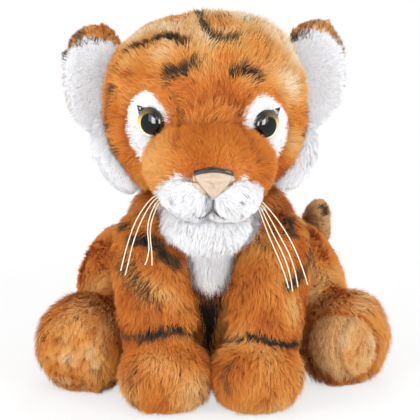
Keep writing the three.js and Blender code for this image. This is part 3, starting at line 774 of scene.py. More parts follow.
def snapped(route: tuple[Point, ...], tree: BVHTree) -> np.ndarray:
    """A route in short steps, laid on a skin.

    Args:
        route: Places in millimetres.
        tree: The skin's faces.

    Returns:
        Places on the skin, in metres, no further apart than about 1.5 mm.
    """
    corners = metres(list(route))
    steps: list[np.ndarray] = []
    for first, second in zip(corners[:-1], corners[1:]):
        count = max(2, int(np.linalg.norm(second - first) / (1.5 * MM)))
        for share in np.linspace(0, 1, count, endpoint=False):
            steps.append(first + (second - first) * share)
    steps.append(corners[-1])
    found = [tree.find_nearest(Vector(step))[0] for step in steps]
    return np.array([tuple(hit) if hit else tuple(step) for hit, step in zip(found, steps)])


class Groom:
    """Grows the pile of one skin as strands of two segments each, with lengths in millimetres."""

    ragged: float = 3.5  # the size of the waves in the edge of an area or a stroke
    area_wave: float = 0.5  # how far an area's edge wanders
    stroke_wave: float = 0.9  # how far a stroke's edge wanders
    stroke_gain: float = 1.12  # makes up for the strands beside a stroke that fall over it
    stroke_spread: float = 0.35  # how much the dye differs between the strands of a stroke
    dye_spread: float = 0.22  # how much the dye differs between all strands
    uneven: float = 0.14  # how much the cut differs from strand to strand
    waves: float = 0.12  # how much the cut differs from place to place
    sag: float = 0.12  # how much the tips droop
    shortest: float = 0.28  # the least share of its length that a strand may keep
    spare: float = 1.35  # strands drawn for each one kept at most
    start_gap: float = 0.45  # how far over the skin the search for other skins starts
    tip_gap: float = 0.5  # how far strands stay from other skins and from the floor
    underside: float = -0.6  # a skin that faces further down than this bears no pile where it rests
    lie_wave: float = 0.4  # how much the lie wanders
    lie_size: float = 20.0  # the size of the places that it wanders over
    lie_floor: float = 0.35  # the lie's least length before it is scaled
    cut_limits: tuple[float, float] = (0.6, 1.35)  # the shares of its length that a strand's cut may have
    wave_size: float = 9.0  # the size of the places where the cut differs
    root_lift: float = 1.25  # how much more the lower half of a strand stands up
    root_lie: float = 0.6  # how much less it lies down
    tip_lift: float = 0.7  # how much less the upper half stands up
    tip_mess: float = 1.3  # how much more it strays
    lock_reach: float = 1.6  # how far a lock draws strands, in its own sizes
    lock_crowd: float = 1.6  # how many locks start where one has room
    lock_pull: tuple[float, float] = (0.5, 0.7)  # the least pull on a strand, and how much chance adds to it
    middle_pull: float = 0.35  # how much of the pull reaches a strand's middle
    turn: float = 0.5  # how far strands turn about their length, in radians
    widths: tuple[float, float] = (0.75, 1.25)  # the least and the most share of its width that a strand has
    taper: float = 0.8  # a strand's width in the middle

    def __init__(self, skin: Skin, coat: Coat, finish: bpy.types.Material, seed: int) -> None:
        """Takes the skin and its coat.

        Args:
            skin: The finished skin.
            coat: How the pile is cut, combed and dyed.
            finish: The material of the strands.
            seed: Which random draws.
        """
        self.skin = skin
        self.coat = coat
        self.finish = finish
        self.rng = np.random.default_rng(seed)
        self.seed = seed
        mesh = skin.thing.data
        mesh.calc_loop_triangles()
        corners = np.empty(len(mesh.loop_triangles) * 3, dtype=np.int32)
        mesh.loop_triangles.foreach_get("vertices", corners)
        self.corners = corners.reshape(-1, 3)
        self.places = places_of(mesh)
        self.normals = normals_of(mesh)
        self.tree = BVHTree.FromPolygons(self.places.tolist(), self.corners.tolist())

    def tones(self, places: np.ndarray, normals: np.ndarray, crisp: bool) -> np.ndarray:
        """The dye at places on the skin, with its painted light and shade.

        Args:
            places: Places in metres, one to a row.
            normals: The skin's normals there.
            crisp: Whether each place takes one dye of a stroke or none, as a strand does.

        Returns:
            One tone for each place.
        """
        coat = self.coat
        self.shear = np.ones(len(places))
        tone = np.full(len(places), float(coat.tone))
        tone += self.shade(places)
        tone += coat.vary * slow_noise(places, coat.patch * MM, self.seed)
        edge = slow_noise(places, self.ragged * MM, self.seed + 5)
        for region in coat.regions:
            share = region.share(places + normals * edge[:, None] * self.area_wave * MM, normals)
            if crisp:
                taken = self.rng.random(len(share)) < share
                tone = np.where(taken, float(region.tone), tone)
                self.shear = np.where(taken, region.cut, self.shear)
            else:
                tone = tone * (1 - share) + float(region.tone) * share
        for stroke in coat.strokes:
            steps = snapped(stroke.route, self.tree)
            half = stroke.width / 2 * MM
            reach = half + (stroke.soft * 2 + 2) * MM
            near = ((places > steps.min(axis=0) - reach) & (places < steps.max(axis=0) + reach)).all(axis=1)
            if not near.any():
                continue
            gaps = np.linalg.norm(places[near, None, :] - steps[None, :, :], axis=2)
            away = gaps.min(axis=1) + edge[near] * self.stroke_wave * MM
            share = stroke.strength * (1 - smooth_step(half - stroke.soft * MM, half + stroke.soft * MM, away))
            share = np.minimum(share * self.stroke_gain, 1.0)
            if crisp:
                taken = self.rng.random(len(share)) < share
                span = self.rng.normal(0, self.stroke_spread, len(share))
                tone[near] = np.where(taken, float(stroke.tone) + span, tone[near])
            else:
                tone[near] = tone[near] * (1 - share) + float(stroke.tone) * share
        return np.clip(tone, 0, len(Tone) - 1)

    def shade(self, places: np.ndarray) -> np.ndarray:
        """A slow change of the dye over the part, in some parts painted light and shade, which a part with one
        overrides.
        """
        return np.zeros(len(places))

    def clear(self, roots: np.ndarray, tips: np.ndarray) -> np.ndarray:
        """How much of each strand may stand, which a part beside an eye or the nose overrides."""
        return np.ones(len(roots))

    def lengths(self, roots: np.ndarray) -> np.ndarray:
        """The pile's cut length at each root, which a part with more than one cut overrides."""
        return np.full(len(roots), self.coat.length * MM)

    def sow(self) -> tuple[np.ndarray, np.ndarray]:
        """Spreads roots evenly over the skin.

        Returns:
            The roots and the skin's normals there.
        """
        a, b, c = (self.places[self.corners[:, i]] for i in range(3))
        area = np.linalg.norm(np.cross(b - a, c - a), axis=1) / 2
        count = int(min(self.coat.most * self.spare, area.sum() / MM**2 * self.coat.density))
        face = self.rng.choice(len(area), size=count, p=area / area.sum())
        u, v = self.rng.random(count), self.rng.random(count)
        over = u + v > 1
        u[over], v[over] = 1 - u[over], 1 - v[over]
        weights = np.stack([1 - u - v, u, v], axis=1)[:, :, None]
        roots = (self.places[self.corners[face]] * weights).sum(axis=1)
        normals = unit((self.normals[self.corners[face]] * weights).sum(axis=1))
        under = (normals[:, Z] < self.underside) & (roots[:, Z] < self.coat.bare_floor * MM)
        return roots[~under], normals[~under]

    def lie(self, roots: np.ndarray, normals: np.ndarray) -> np.ndarray:
        """The way the pile lies along the skin.

        Args:
            roots: The strands' roots in metres.
            normals: The skin's normals.

        Returns:
            A vector along the skin for each root, at most about 1 long.
        """
        comb = self.coat.comb
        away = unit(roots - metres(comb.source)) * comb.spread + np.array(comb.fall)
        waves = [slow_noise(roots, self.lie_size * MM, self.seed + k) for k in (11, 12, 13)]
        away += self.lie_wave * np.stack(waves, axis=1)
        away -= normals * (away * normals).sum(axis=1, keepdims=True)
        size = np.linalg.norm(away, axis=1, keepdims=True)
        return away / np.maximum(size, self.lie_floor)

    def grow(self, room: BVHTree) -> bpy.types.Object:
        """Makes the strands.

        Args:
            room: The faces of all skins, which no strand passes through.

        Returns:
            The pile's object.
        """
        coat, rng = self.coat, self.rng
        roots, normals = self.sow()
        lie = self.lie(roots, normals)
        length = self.lengths(roots) * np.clip(rng.normal(1, self.uneven, len(roots)), *self.cut_limits)
        length *= 1 + self.waves * slow_noise(roots, self.wave_size * MM, self.seed + 21)
        stray = rng.normal(0, coat.mess, roots.shape)
        first = unit(normals * coat.lift * self.root_lift + lie * self.root_lie + stray)
        stray = rng.normal(0, coat.mess * self.tip_mess, roots.shape)
        second = unit(normals * coat.lift * self.tip_lift + lie + np.array([0, 0, -self.sag]) + stray)
        middle = roots + first * length[:, None] * 0.5
        tips = middle + second * length[:, None] * 0.5
        middle, tips = self.clumped(roots, middle, tips)
        keep, share = self.room(roots, normals, tips, room)
        share = np.minimum(share, self.clear(roots, tips))
        keep &= share > self.shortest
        picked = np.flatnonzero(keep)[: coat.most]
        roots, normals, share = roots[picked], normals[picked], share[picked, None]
        middle = roots + (middle[picked] - roots) * share
        tips = roots + (tips[picked] - roots) * share
        tone = self.tones(roots, normals, True) + rng.normal(0, self.dye_spread, len(roots))
        middle = roots + (middle - roots) * self.shear[:, None]
        tips = roots + (tips - roots) * self.shear[:, None]
        for part in (middle, tips):
            part[:, Z] = np.maximum(part[:, Z], self.tip_gap * MM)
        return self.ribbons(roots, middle, tips, normals, np.clip(tone, -0.3, len(Tone) - 0.7))

    def clumped(
        self, roots: np.ndarray, middle: np.ndarray, tips: np.ndarray
    ) -> tuple[np.ndarray, np.ndarray]:
        """Draws strands together in small locks.

        Args:
            roots: The strands' roots.
            middle: The strands' middles.
            tips: The strands' tips.

        Returns:
            The new middles and tips.
        """
        coat = self.coat
        reach = coat.clump * MM * self.lock_reach
        count = max(8, int(len(roots) / coat.density / coat.clump**2 * self.lock_crowd))
        chosen = self.rng.choice(len(roots), size=min(count, len(roots)), replace=False)
        locks = KDTree(len(chosen))
        for slot, index in enumerate(chosen):
            locks.insert(roots[index], slot)
        locks.balance()
        nearest = chosen[np.array([locks.find(root)[1] for root in roots])]
        least, chance = self.lock_pull
        pull = coat.pull * (least + self.rng.random(len(roots))[:, None] * chance)
        gap = np.linalg.norm(roots - roots[nearest], axis=1, keepdims=True)
        pull = pull * (gap < reach)
        tips = tips + (tips[nearest] - tips) * pull
        middle = middle + (middle[nearest] - middle) * pull * self.middle_pull
        return middle, tips

    def room(
        self, roots: np.ndarray, normals: np.ndarray, tips: np.ndarray, room: BVHTree
    ) -> tuple[np.ndarray, np.ndarray]:
        """Finds the strands that other skins cover or cut short.

        Args:
            roots: The strands' roots.
            normals: The skin's normals.
            tips: The strands' tips.
            room: The faces of all skins.

        Returns:
            Which strands may stand, and the share of its length that each has room for.
        """
        starts = roots + normals * self.start_gap * MM
        ways = tips - starts
        sizes = np.linalg.norm(ways, axis=1)
        keep = np.ones(len(roots), dtype=bool)
        share = np.ones(len(roots))
        for index, (start, way, size) in enumerate(zip(starts.tolist(), ways.tolist(), sizes.tolist())):
            hit, facing, _, gap = room.ray_cast(start, way, size + self.tip_gap * MM)
            if hit is None:
                continue
            if facing.dot(Vector(way)) > 0:
                keep[index] = False
            else:
                share[index] = gap / (size + self.tip_gap * MM)
        return keep, share

    def ribbons(
        self, roots: np.ndarray, middle: np.ndarray, tips: np.ndarray, normals: np.ndarray, tone: np.ndarray
    ) -> bpy.types.Object:
        """Gives the strands their width, map and normals.

        Args:
            roots: The strands' roots.
            middle: The strands' middles.
            tips: The strands' tips.
            normals: The skin's normals.
            tone: The strands' dyes.

        Returns:
            The pile's object.
        """
        count = len(roots)
        along = unit(tips - roots)
        across = unit(np.cross(along, normals) + 1e-5)
        face = np.cross(across, along)
        turn = self.rng.normal(0, self.turn, count)[:, None]
        across = across * np.cos(turn) + face * np.sin(turn)
        face = unit(np.cross(across, along))
        flip = np.sign((face * normals).sum(axis=1, keepdims=True))
        across *= np.where(flip == 0, 1, flip)
        face *= np.where(flip == 0, 1, flip)
        wide = across * (self.coat.width * MM / 2) * self.rng.uniform(*self.widths, count)[:, None]
        places = np.empty((count, 5, 3))
        places[:, 0], places[:, 1] = roots - wide, roots + wide
        places[:, 2], places[:, 3] = middle - wide * self.taper, middle + wide * self.taper
        places[:, 4] = tips
        mesh = bpy.data.meshes.new(self.skin.name + "_pile")
        mesh.vertices.add(count * 5)
        mesh.vertices.foreach_set("co", places.ravel())
        order = np.array([0, 1, 3, 2, 2, 3, 4])
        loops = (np.arange(count)[:, None] * 5 + order).ravel().astype(np.int32)
        mesh.loops.add(len(loops))
        mesh.loops.foreach_set("vertex_index", loops)
        mesh.polygons.add(count * 2)
        starts = (np.arange(count)[:, None] * 7 + np.array([0, 4])).ravel().astype(np.int32)
        mesh.polygons.foreach_set("loop_start", starts)
        mesh.update(calc_edges=True)
        centre = (tone + 0.5) / len(Tone)
        sides = np.array([-1, 1, 1, -1, -1, 1, 0]) * 0.012
        heights = np.array([0.02, 0.02, 0.5, 0.5, 0.5, 0.5, 0.98])
        layer = np.empty((count, 7, 2), dtype=np.float32)
        layer[:, :, 0] = np.clip(centre[:, None] + sides, 0.005, 0.995)
        layer[:, :, 1] = heights
        mesh.uv_layers.new(name="OFBake").uv.foreach_set("vector", layer.ravel())
        soft = unit(normals * 0.85 + face * 0.25 + along * 0.1)
        mesh.normals_split_custom_set_from_vertices(np.repeat(soft, 5, axis=0).tolist())
        mesh.materials.append(self.finish)
        thing = new_object(mesh.name, mesh)
        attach(thing, self.skin.body)
        return thing


# The scene


@dataclass
class Studio:
    """The floor, the lights, the background and the camera."""

    target: Point = (-0.75, -52.0, 135.0)
    elevation: float = 12.0
    distance: float = 1250.0
    lens: float = 143.6
    floor_size: float = 3.0
    glow: float = 0.68
    key: float = 3.5
    fill: float = 8.0
    glint: float = 26.0
    back: float = 4.0

    def camera(self) -> None:
        """Sets the camera at the photograph's angle."""
        lens = bpy.data.cameras.new("camera")
        lens.lens, lens.sensor_width = self.lens, 36.0
        lens.clip_start, lens.clip_end = 0.05, 20.0
        thing = new_object("camera", lens)
        rise = math.radians(self.elevation)
        back = Vector((0, -math.cos(rise), math.sin(rise))) * self.distance * MM
        thing.location = Vector(metres(self.target)) + back
        thing.rotation_euler = (math.radians(90) - rise, 0, 0)
        bpy.context.scene.camera = thing

    def white_to_eye(self, kit: NodeKit) -> bpy.types.NodeSocket:
        """Finds the rays that show the background itself.

        Args:
            kit: The nodes of a material or the world.

        Returns:
            A socket that is 1 for camera, glossy and transmission rays.
        """
        path = kit.add("ShaderNodeLightPath")
        either = kit.math("MAXIMUM", path.outputs["Is Camera Ray"], path.outputs["Is Glossy Ray"])
        return kit.math("MAXIMUM", either, path.outputs["Is Transmission Ray"])

    def backdrop(self) -> None:
        """Makes the white surroundings and the pale floor that keeps the shadow."""
        world = bpy.data.worlds.new("surroundings")
        bpy.context.scene.world = world
        world.use_nodes = True
        world.node_tree.nodes.clear()
        kit = NodeKit(world.node_tree)
        seen = self.white_to_eye(kit)
        strength = kit.math("ADD", kit.math("MULTIPLY", seen, 1.0 - self.glow), self.glow)
        light = kit.add("ShaderNodeBackground", {"Color": (1, 1, 1, 1), "Strength": strength})
        kit.add("ShaderNodeOutputWorld", {"Surface": light.outputs[0]})

        form = bmesh.new()
        bmesh.ops.create_grid(form, x_segments=8, y_segments=8, size=self.floor_size)
        floor = new_object("floor", mesh_from(form, "floor"))
        material, kit = new_material("pale_floor")
        away = kit.add("ShaderNodeVectorMath", {0: kit.place()}, operation="LENGTH").outputs["Value"]
        paint = kit.blend(kit.grain(6.0), (0.9, 0.9, 0.9, 1), (0.93, 0.93, 0.93, 1))
        matte = kit.add("ShaderNodeBsdfDiffuse", {"Color": paint})
        bright = kit.add("ShaderNodeEmission", {"Color": (1, 1, 1, 1), "Strength": 1.0})
        far = kit.math("MULTIPLY", kit.math("SUBTRACT", away, 0.2), 5.0, clamp=True)
        share = kit.math("MULTIPLY", self.white_to_eye(kit), kit.math("MAXIMUM", far, 0.66))
        kit.surface({0: share, 1: matte.outputs[0], 2: bright.outputs[0]}, "ShaderNodeMixShader")
        floor.data.materials.append(material)

    def lamp(self, name: str, place: Point, size: float, power: float, lights: bool = True) -> None:
        """Hangs one square soft light that faces the toy.

        Args:
            name: The lamp's name.
            place: Where it hangs, in millimetres.
            size: Its side in millimetres.
            power: Its power in watts.
            lights: Whether it lights the toy, or only shows in what is glossy.
        """
        light = bpy.data.lights.new(name, "AREA")
        light.shape, light.size, light.energy = "SQUARE", size * MM, power
        thing = new_object(name, light)
        thing.location = Vector(metres(place))
        aim = Vector(metres(self.target)) - thing.location
        thing.rotation_euler = aim.to_track_quat("-Z", "Y").to_euler()
        thing.visible_diffuse = lights

    def light(self) -> None:
        """Hangs the lamps and sets the plain view transform."""
        self.lamp("key", (0.0, -1250.0, 760.0), 420.0, self.key)
        for side, way in SIDES.items():
            self.lamp(f"fill_{side}", (way * 900.0, -900.0, 520.0), 700.0, self.fill)
            self.lamp(f"glint_{side}", (way * 640.0, -1080.0, 360.0), 580.0, self.glint, lights=False)
        self.lamp("back", (200.0, 900.0, 1000.0), 600.0, self.back)
        bpy.context.scene.view_settings.view_transform = "Standard"


# Each whisker thread's places across and up, as seen from the front, from its root at the side of the muzzle
WHISKERS: dict[str, tuple[tuple[float, float], ...]] = {
    "right_upper": (
        (-33.9, 164.2), (-37.4, 163.6), (-40.6, 161.6), (-43.6, 158.6),
        (-46.4, 155.0), (-48.9, 151.3), (-51.2, 147.4), (-53.2, 143.3),
        (-54.9, 139.0), (-56.4, 134.7), (-57.8, 130.3), (-59.1, 125.9),
        (-60.3, 121.4), (-61.4, 117.0), (-62.3, 113.6), (-63.0, 110.4),
    ),
    "right_outer": (
        (-33.4, 163.1), (-37.2, 161.6), (-39.8, 159.4), (-42.3, 156.2),
        (-44.7, 152.4), (-46.9, 148.4), (-48.9, 144.3), (-50.7, 140.1),
        (-52.3, 135.8), (-53.8, 131.4), (-55.1, 127.0), (-56.2, 122.6),
        (-57.2, 118.3), (-58.2, 114.2), (-59.1, 110.4), (-60.0, 107.2),
    ),
    "right_inner": (
        (-32.7, 161.2), (-36.8, 159.4), (-38.8, 156.6), (-40.6, 153.2),
        (-42.1, 149.4), (-43.3, 145.4), (-44.0, 141.4), (-44.2, 137.6),
        (-43.9, 134.0), (-43.5, 130.6), (-43.3, 127.4), (-43.4, 124.4),
        (-43.8, 121.6), (-44.4, 119.0), (-45.2, 116.6), (-46.0, 114.6),
    ),
    "right_lower": (
        (-32.0, 159.8), (-36.2, 157.6), (-38.0, 154.0), (-39.6, 150.2),
        (-40.9, 146.4), (-41.8, 142.6), (-42.3, 138.8), (-42.4, 135.0),
        (-42.2, 131.4), (-41.8, 128.0), (-41.5, 124.8), (-41.3, 122.0),
        (-41.2, 119.6), (-41.2, 117.6), (-41.2, 115.8), (-41.2, 114.2),
    ),
    "left_upper": (
        (33.2, 159.8), (36.0, 158.0), (39.2, 154.6), (42.4, 150.8),
        (45.6, 146.8), (48.6, 142.6), (51.4, 138.4), (54.0, 134.0),
        (56.4, 129.6), (58.6, 125.0), (60.6, 120.4), (62.4, 115.8),
        (64.0, 111.4), (65.4, 107.2), (66.6, 103.4), (67.6, 100.2),
    ),
    "left_outer": (
        (32.1, 158.1), (35.4, 156.0), (37.8, 152.4), (40.2, 148.4),
        (42.6, 144.2), (45.0, 139.8), (47.4, 135.4), (49.8, 131.0),
        (52.2, 126.6), (54.4, 122.2), (56.2, 117.8), (57.6, 113.4),
        (58.7, 109.2), (59.6, 105.2), (60.3, 101.6), (60.8, 98.6),
    ),
    "left_inner": (
        (31.1, 156.8), (34.6, 154.2), (36.4, 150.4), (38.3, 146.2),
        (40.3, 141.8), (42.4, 137.4), (44.6, 133.0), (46.8, 128.6),
        (49.0, 124.2), (51.0, 119.8), (52.7, 115.4), (54.1, 111.0),
        (55.2, 106.8), (56.0, 102.8), (56.6, 99.0), (57.0, 95.6),
    ),
    "left_lower": (
        (30.0, 155.2), (33.6, 152.6), (35.0, 148.6), (36.6, 144.2),
        (38.3, 139.6), (40.1, 135.0), (42.0, 130.6), (43.9, 126.2),
        (45.8, 121.8), (47.6, 117.6), (49.2, 113.6), (50.6, 109.8),
        (51.8, 106.2), (52.8, 103.0), (53.6, 100.2), (54.2, 97.8),
    ),
}


@dataclass
class Whiskers:
    """The whisker threads, which hang from the sides of the muzzle and lean outwards."""

    thickness: float = 0.8
    root_depth: float = -135.0
    tip_depth: float = -140.0

    def build(self) -> None:
        """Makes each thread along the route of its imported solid."""
        finish = GrainFinish(
            "whisker_thread", (236, 226, 202), (208, 194, 162), grain=2400.0, depth=0.05, roughness=0.45
        ).material()
        for name, places in WHISKERS.items():
            depths = np.linspace(self.root_depth, self.tip_depth, len(places))
            route = metres([(x, y, z) for (x, z), y in zip(places, depths)])
            line = bpy.data.curves.new("whisker_thread_" + name, "CURVE")
            line.dimensions = "3D"
            line.bevel_depth = self.thickness / 2 * MM
            line.bevel_resolution = 3
            line.use_fill_caps = True
            spline = line.splines.new("POLY")
            spline.points.add(len(places) - 1)
            for point, place in zip(spline.points, route):
                point.co = (*place, 1.0)
            line.materials.append(finish)
            thing = new_object("whisker_thread_" + name, line)
            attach(thing, "head")
            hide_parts("whisker_" + name)


@dataclass
class Eye:
    """A moulded safety eye: a smooth dome on its packed place."""

    side: str
    radius: float = 10.8
    height: float = 6.6
    rim: float = 0.9
    turn: float = 12.0

    def place(self) -> Matrix:
        """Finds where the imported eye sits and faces.

        Returns:
            A frame whose Z axis points out of the head, with its origin at the dome's base.
        """
        dome = places_of(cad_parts[f"eye_{self.side}"].data)
        lock = places_of(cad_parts[f"eye_washer_{self.side}"].data)
        middle = dome.mean(axis=0)
        out = unit((middle - lock.mean(axis=0))[None])[0]
        base = middle + out * (((dome - middle) @ out).max() - self.height * MM)
        up = unit((np.array([0, 0, 1.0]) - out * out[2])[None])[0]
        side = np.cross(up, out)
        turned = Matrix((side, up, out)).transposed().to_4x4()
        outward = Matrix.Rotation(math.radians(self.turn) * SIDES[self.side], 4, "Y")
        return Matrix.Translation(Vector(base)) @ turned @ outward

    def build(self, finish: bpy.types.Material) -> bpy.types.Object:
        """Spins the dome and its stem.

        Args:
            finish: The material of the dome.

        Returns:
            The eye's object.
        """
        form = bmesh.new()
        outline = [(0.0, -9.4), (1.7, -9.4), (2.2, -6.0), (1.7, -4.0), (1.7, 0.0), (self.radius - self.rim, 0.0)]
        steps = 10
        for i in range(steps + 1):
            turn = i / steps * math.pi / 2
            outline.append(
                (self.radius * math.cos(turn) ** 0.9, self.rim + (self.height - self.rim) * math.sin(turn))
            )
        verts = [form.verts.new((max(r, 0.0) * MM, 0, z * MM)) for r, z in outline]
        edges = [form.edges.new(pair) for pair in zip(verts[:-1], verts[1:])]
        bmesh.ops.spin(
            form, geom=verts + edges, axis=(0, 0, 1), cent=(0, 0, 0), angle=2 * math.pi, steps=48, use_merge=True
        )
        bmesh.ops.remove_doubles(form, verts=form.verts, dist=0.005 * MM)
        bmesh.ops.recalc_face_normals(form, faces=form.faces)
        layer = form.loops.layers.uv.new("dome")
        mirror = -SIDES[self.side]
        for face in form.faces:
            face.smooth = True
            for loop in face.loops:
                x, y, _ = loop.vert.co
                loop[layer].uv = (mirror * x / (self.radius * MM), y / (self.radius * MM))
        form.transform(self.place())
        thing = new_object(f"eye_dome_{self.side}", mesh_from(form, f"eye_dome_{self.side}"))
        thing.data.materials.append(finish)
        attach(thing, "head")
        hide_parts(f"eye_{self.side}")
        return thing


# Stripes, and painted shade along creases, each a route on the skin


HEAD_STRIPES = (
    Stroke(((-59, -80, 255), (-52, -84, 259), (-45, -88, 262), (-36, -88, 267), (-28, -92, 268), (-17, -100, 264)),
           7.0, Tone.OLIVE, 0.95),
    Stroke(((-56, -82, 256), (-45, -88, 261), (-34, -90, 267), (-25, -94, 267)), 3.6, Tone.SOOT, 0.85),
    Stroke(((-27, -110, 242), (-19, -111, 244), (-11, -110, 249)), 9.0, Tone.OLIVE, 0.8, 2.6),
    Stroke(((-25, -110, 243), (-17, -111, 245)), 4.6, Tone.SOOT, 0.75, 2.2),
    Stroke(((15, -110, 243), (22, -108, 245), (30, -105, 241)), 8.0, Tone.OLIVE, 0.85, 2.4),
    Stroke(((18, -109, 244), (27, -106, 243)), 4.8, Tone.SOOT, 0.85, 2.0),
    Stroke(((-8, -62, 280), (-6, -80, 276), (-2, -92, 270), (2, -98, 264)), 6.5, Tone.OLIVE, 0.9, 2.4),
    Stroke(((-5, -70, 279), (8, -74, 277), (20, -72, 274), (29, -70, 269)), 5.0, Tone.OLIVE, 0.6, 2.4),
    Stroke(((-58, -90, 238), (-52, -94, 240)), 5.5, Tone.RUST, 0.8, 2.4),
    Stroke(((-30, -52, 277), (-14, -54, 280)), 3.5, Tone.OLIVE, 0.5),
    Stroke(((7, -100, 263), (14, -98, 263)), 6.5, Tone.OLIVE, 0.9),
    Stroke(((14, -96, 265), (28, -89, 265), (38, -86, 258)), 5.0, Tone.OLIVE, 0.35),
    Stroke(((-66, -80, 243), (-69, -76, 236)), 5.0, Tone.UMBER, 0.5),
    Stroke(((-71, -82, 230), (-71, -80, 219)), 7.0, Tone.OLIVE, 0.9, 2.4),
    Stroke(((-73, -76, 210), (-71, -78, 203)), 6.5, Tone.OLIVE, 0.9, 2.4),
    Stroke(((-70, -76, 193), (-66, -80, 184), (-61, -80, 176)), 7.5, Tone.OLIVE, 0.9, 2.4),
    Stroke(((66, -70, 216), (66, -70, 208)), 5.0, Tone.OLIVE, 0.7, 2.2),
    Stroke(((66, -70, 199), (65, -70, 191)), 5.5, Tone.OLIVE, 0.75, 2.2),
    Stroke(((-24, -112, 207), (-20, -113, 216), (-13, -114, 223), (-4, -115, 226), (5, -115, 226), (14, -114, 223),
            (22, -112, 215), (26, -111, 207)), 4.0, Tone.RUST, 0.6, 2.6),
    Stroke(((-60, -20, 250), (-40, -8, 264), (-20, 0, 268)), 6.0, Tone.OLIVE, 0.9),
    Stroke(((60, -20, 248), (38, -6, 262), (14, 0, 268)), 6.0, Tone.OLIVE, 0.9),
    Stroke(((-70, -10, 222), (-46, 6, 236), (-14, 8, 244)), 7.0, Tone.OLIVE, 0.9),
    Stroke(((66, -10, 220), (40, 6, 234), (8, 8, 242)), 7.0, Tone.OLIVE, 0.9),
    Stroke(((-66, -4, 190), (-40, 8, 200), (-8, 8, 206)), 7.0, Tone.OLIVE, 0.9),
    Stroke(((62, -4, 190), (36, 8, 200), (2, 8, 208)), 7.0, Tone.OLIVE, 0.9),
)
LEG_STRIPES_AND_TOE_SHADE = {
    "right": (
        Stroke(((-64, -78, 132), (-59, -82, 128)), 6.0, Tone.OLIVE, 0.9),
        Stroke(((-54, -93, 122), (-43, -95, 123), (-38, -98, 115), (-29, -100, 109)), 9.0, Tone.OLIVE, 0.95),
        Stroke(((-48, -95, 122), (-40, -97, 118), (-36, -99, 113)), 4.5, Tone.SOOT, 0.9),
        Stroke(((-61, -96, 106), (-54, -102, 98), (-48, -107, 90)), 15.0, Tone.OLIVE, 0.6, 4.5),
        Stroke(((-46, -108, 90), (-38, -112, 80)), 9.0, Tone.UMBER, 0.6, 4.0),
        Stroke(((-62, -100, 57), (-46, -116, 58), (-32, -116, 63), (-24, -114, 61), (-8, -96, 61)), 5.0,
               Tone.OLIVE, 0.9),
        Stroke(((-43, -116, 59), (-32, -116, 63), (-24, -114, 63)), 6.0, Tone.SOOT, 0.92, 2.0),
        # Painted shade in the toe creases beside the toe threads
        Stroke(((-53, -130, 38), (-55, -130, 30), (-54, -130, 24)), 3.4, Tone.UMBER, 0.8),
        Stroke(((-32, -133, 30), (-31, -133, 22), (-30, -130, 14)), 3.0, Tone.RUST, 0.8),
    ),
    "left": (
        Stroke(((58, -80, 138), (56, -84, 132), (53, -88, 124)), 6.5, Tone.OLIVE, 0.95),
        Stroke(((57, -82, 135), (55, -86, 128)), 4.0, Tone.SOOT, 0.85),
        Stroke(((51, -104, 92), (59, -98, 97), (66, -84, 105), (69, -70, 116)), 6.5, Tone.OLIVE, 0.9, 2.2),
        Stroke(((52, -103, 93), (60, -98, 96)), 3.2, Tone.SOOT, 0.85),
        Stroke(((35, -95, 123), (40, -96, 120)), 5.0, Tone.OLIVE, 0.35),
        Stroke(((6, -100, 57), (19, -112, 56), (27, -116, 55), (34, -117, 59), (42, -117, 54), (51, -113, 51),
                (62, -100, 52)), 5.0, Tone.OLIVE, 0.9),
        Stroke(((29, -117, 59), (36, -117, 58), (43, -117, 54), (51, -113, 51), (60, -102, 51)), 5.6, Tone.SOOT,
               0.94, 2.0),
        # Painted shade in the toe creases beside the toe threads
        Stroke(((13, -130, 42), (11, -132, 33), (14, -130, 24)), 3.4, Tone.UMBER, 0.75),
        Stroke(((39, -133, 32), (40, -133, 24), (40, -130, 14)), 3.0, Tone.RUST, 0.8),
    ),
}
EAR_RIMS = {
    "right": (
        Stroke(((-109, -48, 250), (-101, -48, 259), (-94, -48, 264)), 9.0, Tone.OLIVE, 0.6, 3.0),
        Stroke(((-94, -48, 266), (-80, -48, 271), (-70, -48, 268)), 9.0, Tone.UMBER, 0.3, 4.0),
    ),
    "left": (
        Stroke(((58, -34, 246), (64, -34, 264), (78, -34, 274), (90, -34, 270), (98, -34, 254)), 9.0, Tone.UMBER,
               0.5, 4.0),
    ),
}
EAR_HAIRS = {
    "right": (Stroke(((-100, -52, 256), (-88, -52, 261), (-76, -50, 261)), 2.4, Tone.SOOT, 0.55),),
    "left": (Stroke(((57, -36, 262), (56, -37, 254), (62, -38, 262), (72, -38, 264)), 2.4, Tone.SOOT, 0.55),),
}
BODY_STRIPES = tuple(
    Stroke(
        tuple(
            (way * 74 * math.sin(turn), -24 + lean + 70 * math.cos(turn), height + rise * math.sin(turn))
            for turn in (0.08, 0.35, 0.62, 0.9, 1.15)
        ),
        7.0,
        Tone.OLIVE,
        0.92,
    )
    for way in (-1, 1)
    for height, lean, rise in ((140, -8, -6), (116, 0, -8), (92, 4, -10), (66, 8, -10))
)
TAIL_STRIPES = tuple(
    Stroke(((x - 9, y + 8, z - 7), (x, y + 10, z), (x + 8, y + 4, z + 8)), 6.0, Tone.OLIVE, 0.9)
    for x, y, z in ((52, 74, 46), (72, 66, 66), (82, 56, 88))
) + (Stroke(((88, 24, 119), (92, 24, 115)), 6.0, Tone.OLIVE, 0.9),)
PAD_SPOTS = (
    Stroke(((-25, -154, 165), (-24, -154, 163)), 3.4, Tone.SMOKE, 0.9),
    Stroke(((-27, -152, 157), (-26, -152, 156)), 2.6, Tone.SMOKE, 0.8),
    Stroke(((-12, -158, 157), (-10, -158, 157)), 3.0, Tone.SOOT, 0.4),
    Stroke(((19, -156, 162), (23, -156, 167)), 2.4, Tone.SOOT, 0.35),
    Stroke(((10, -158, 159), (13, -158, 158)), 2.6, Tone.SMOKE, 0.7),
    Stroke(((19, -152, 154), (21, -151, 153)), 2.8, Tone.SMOKE, 0.8),
)
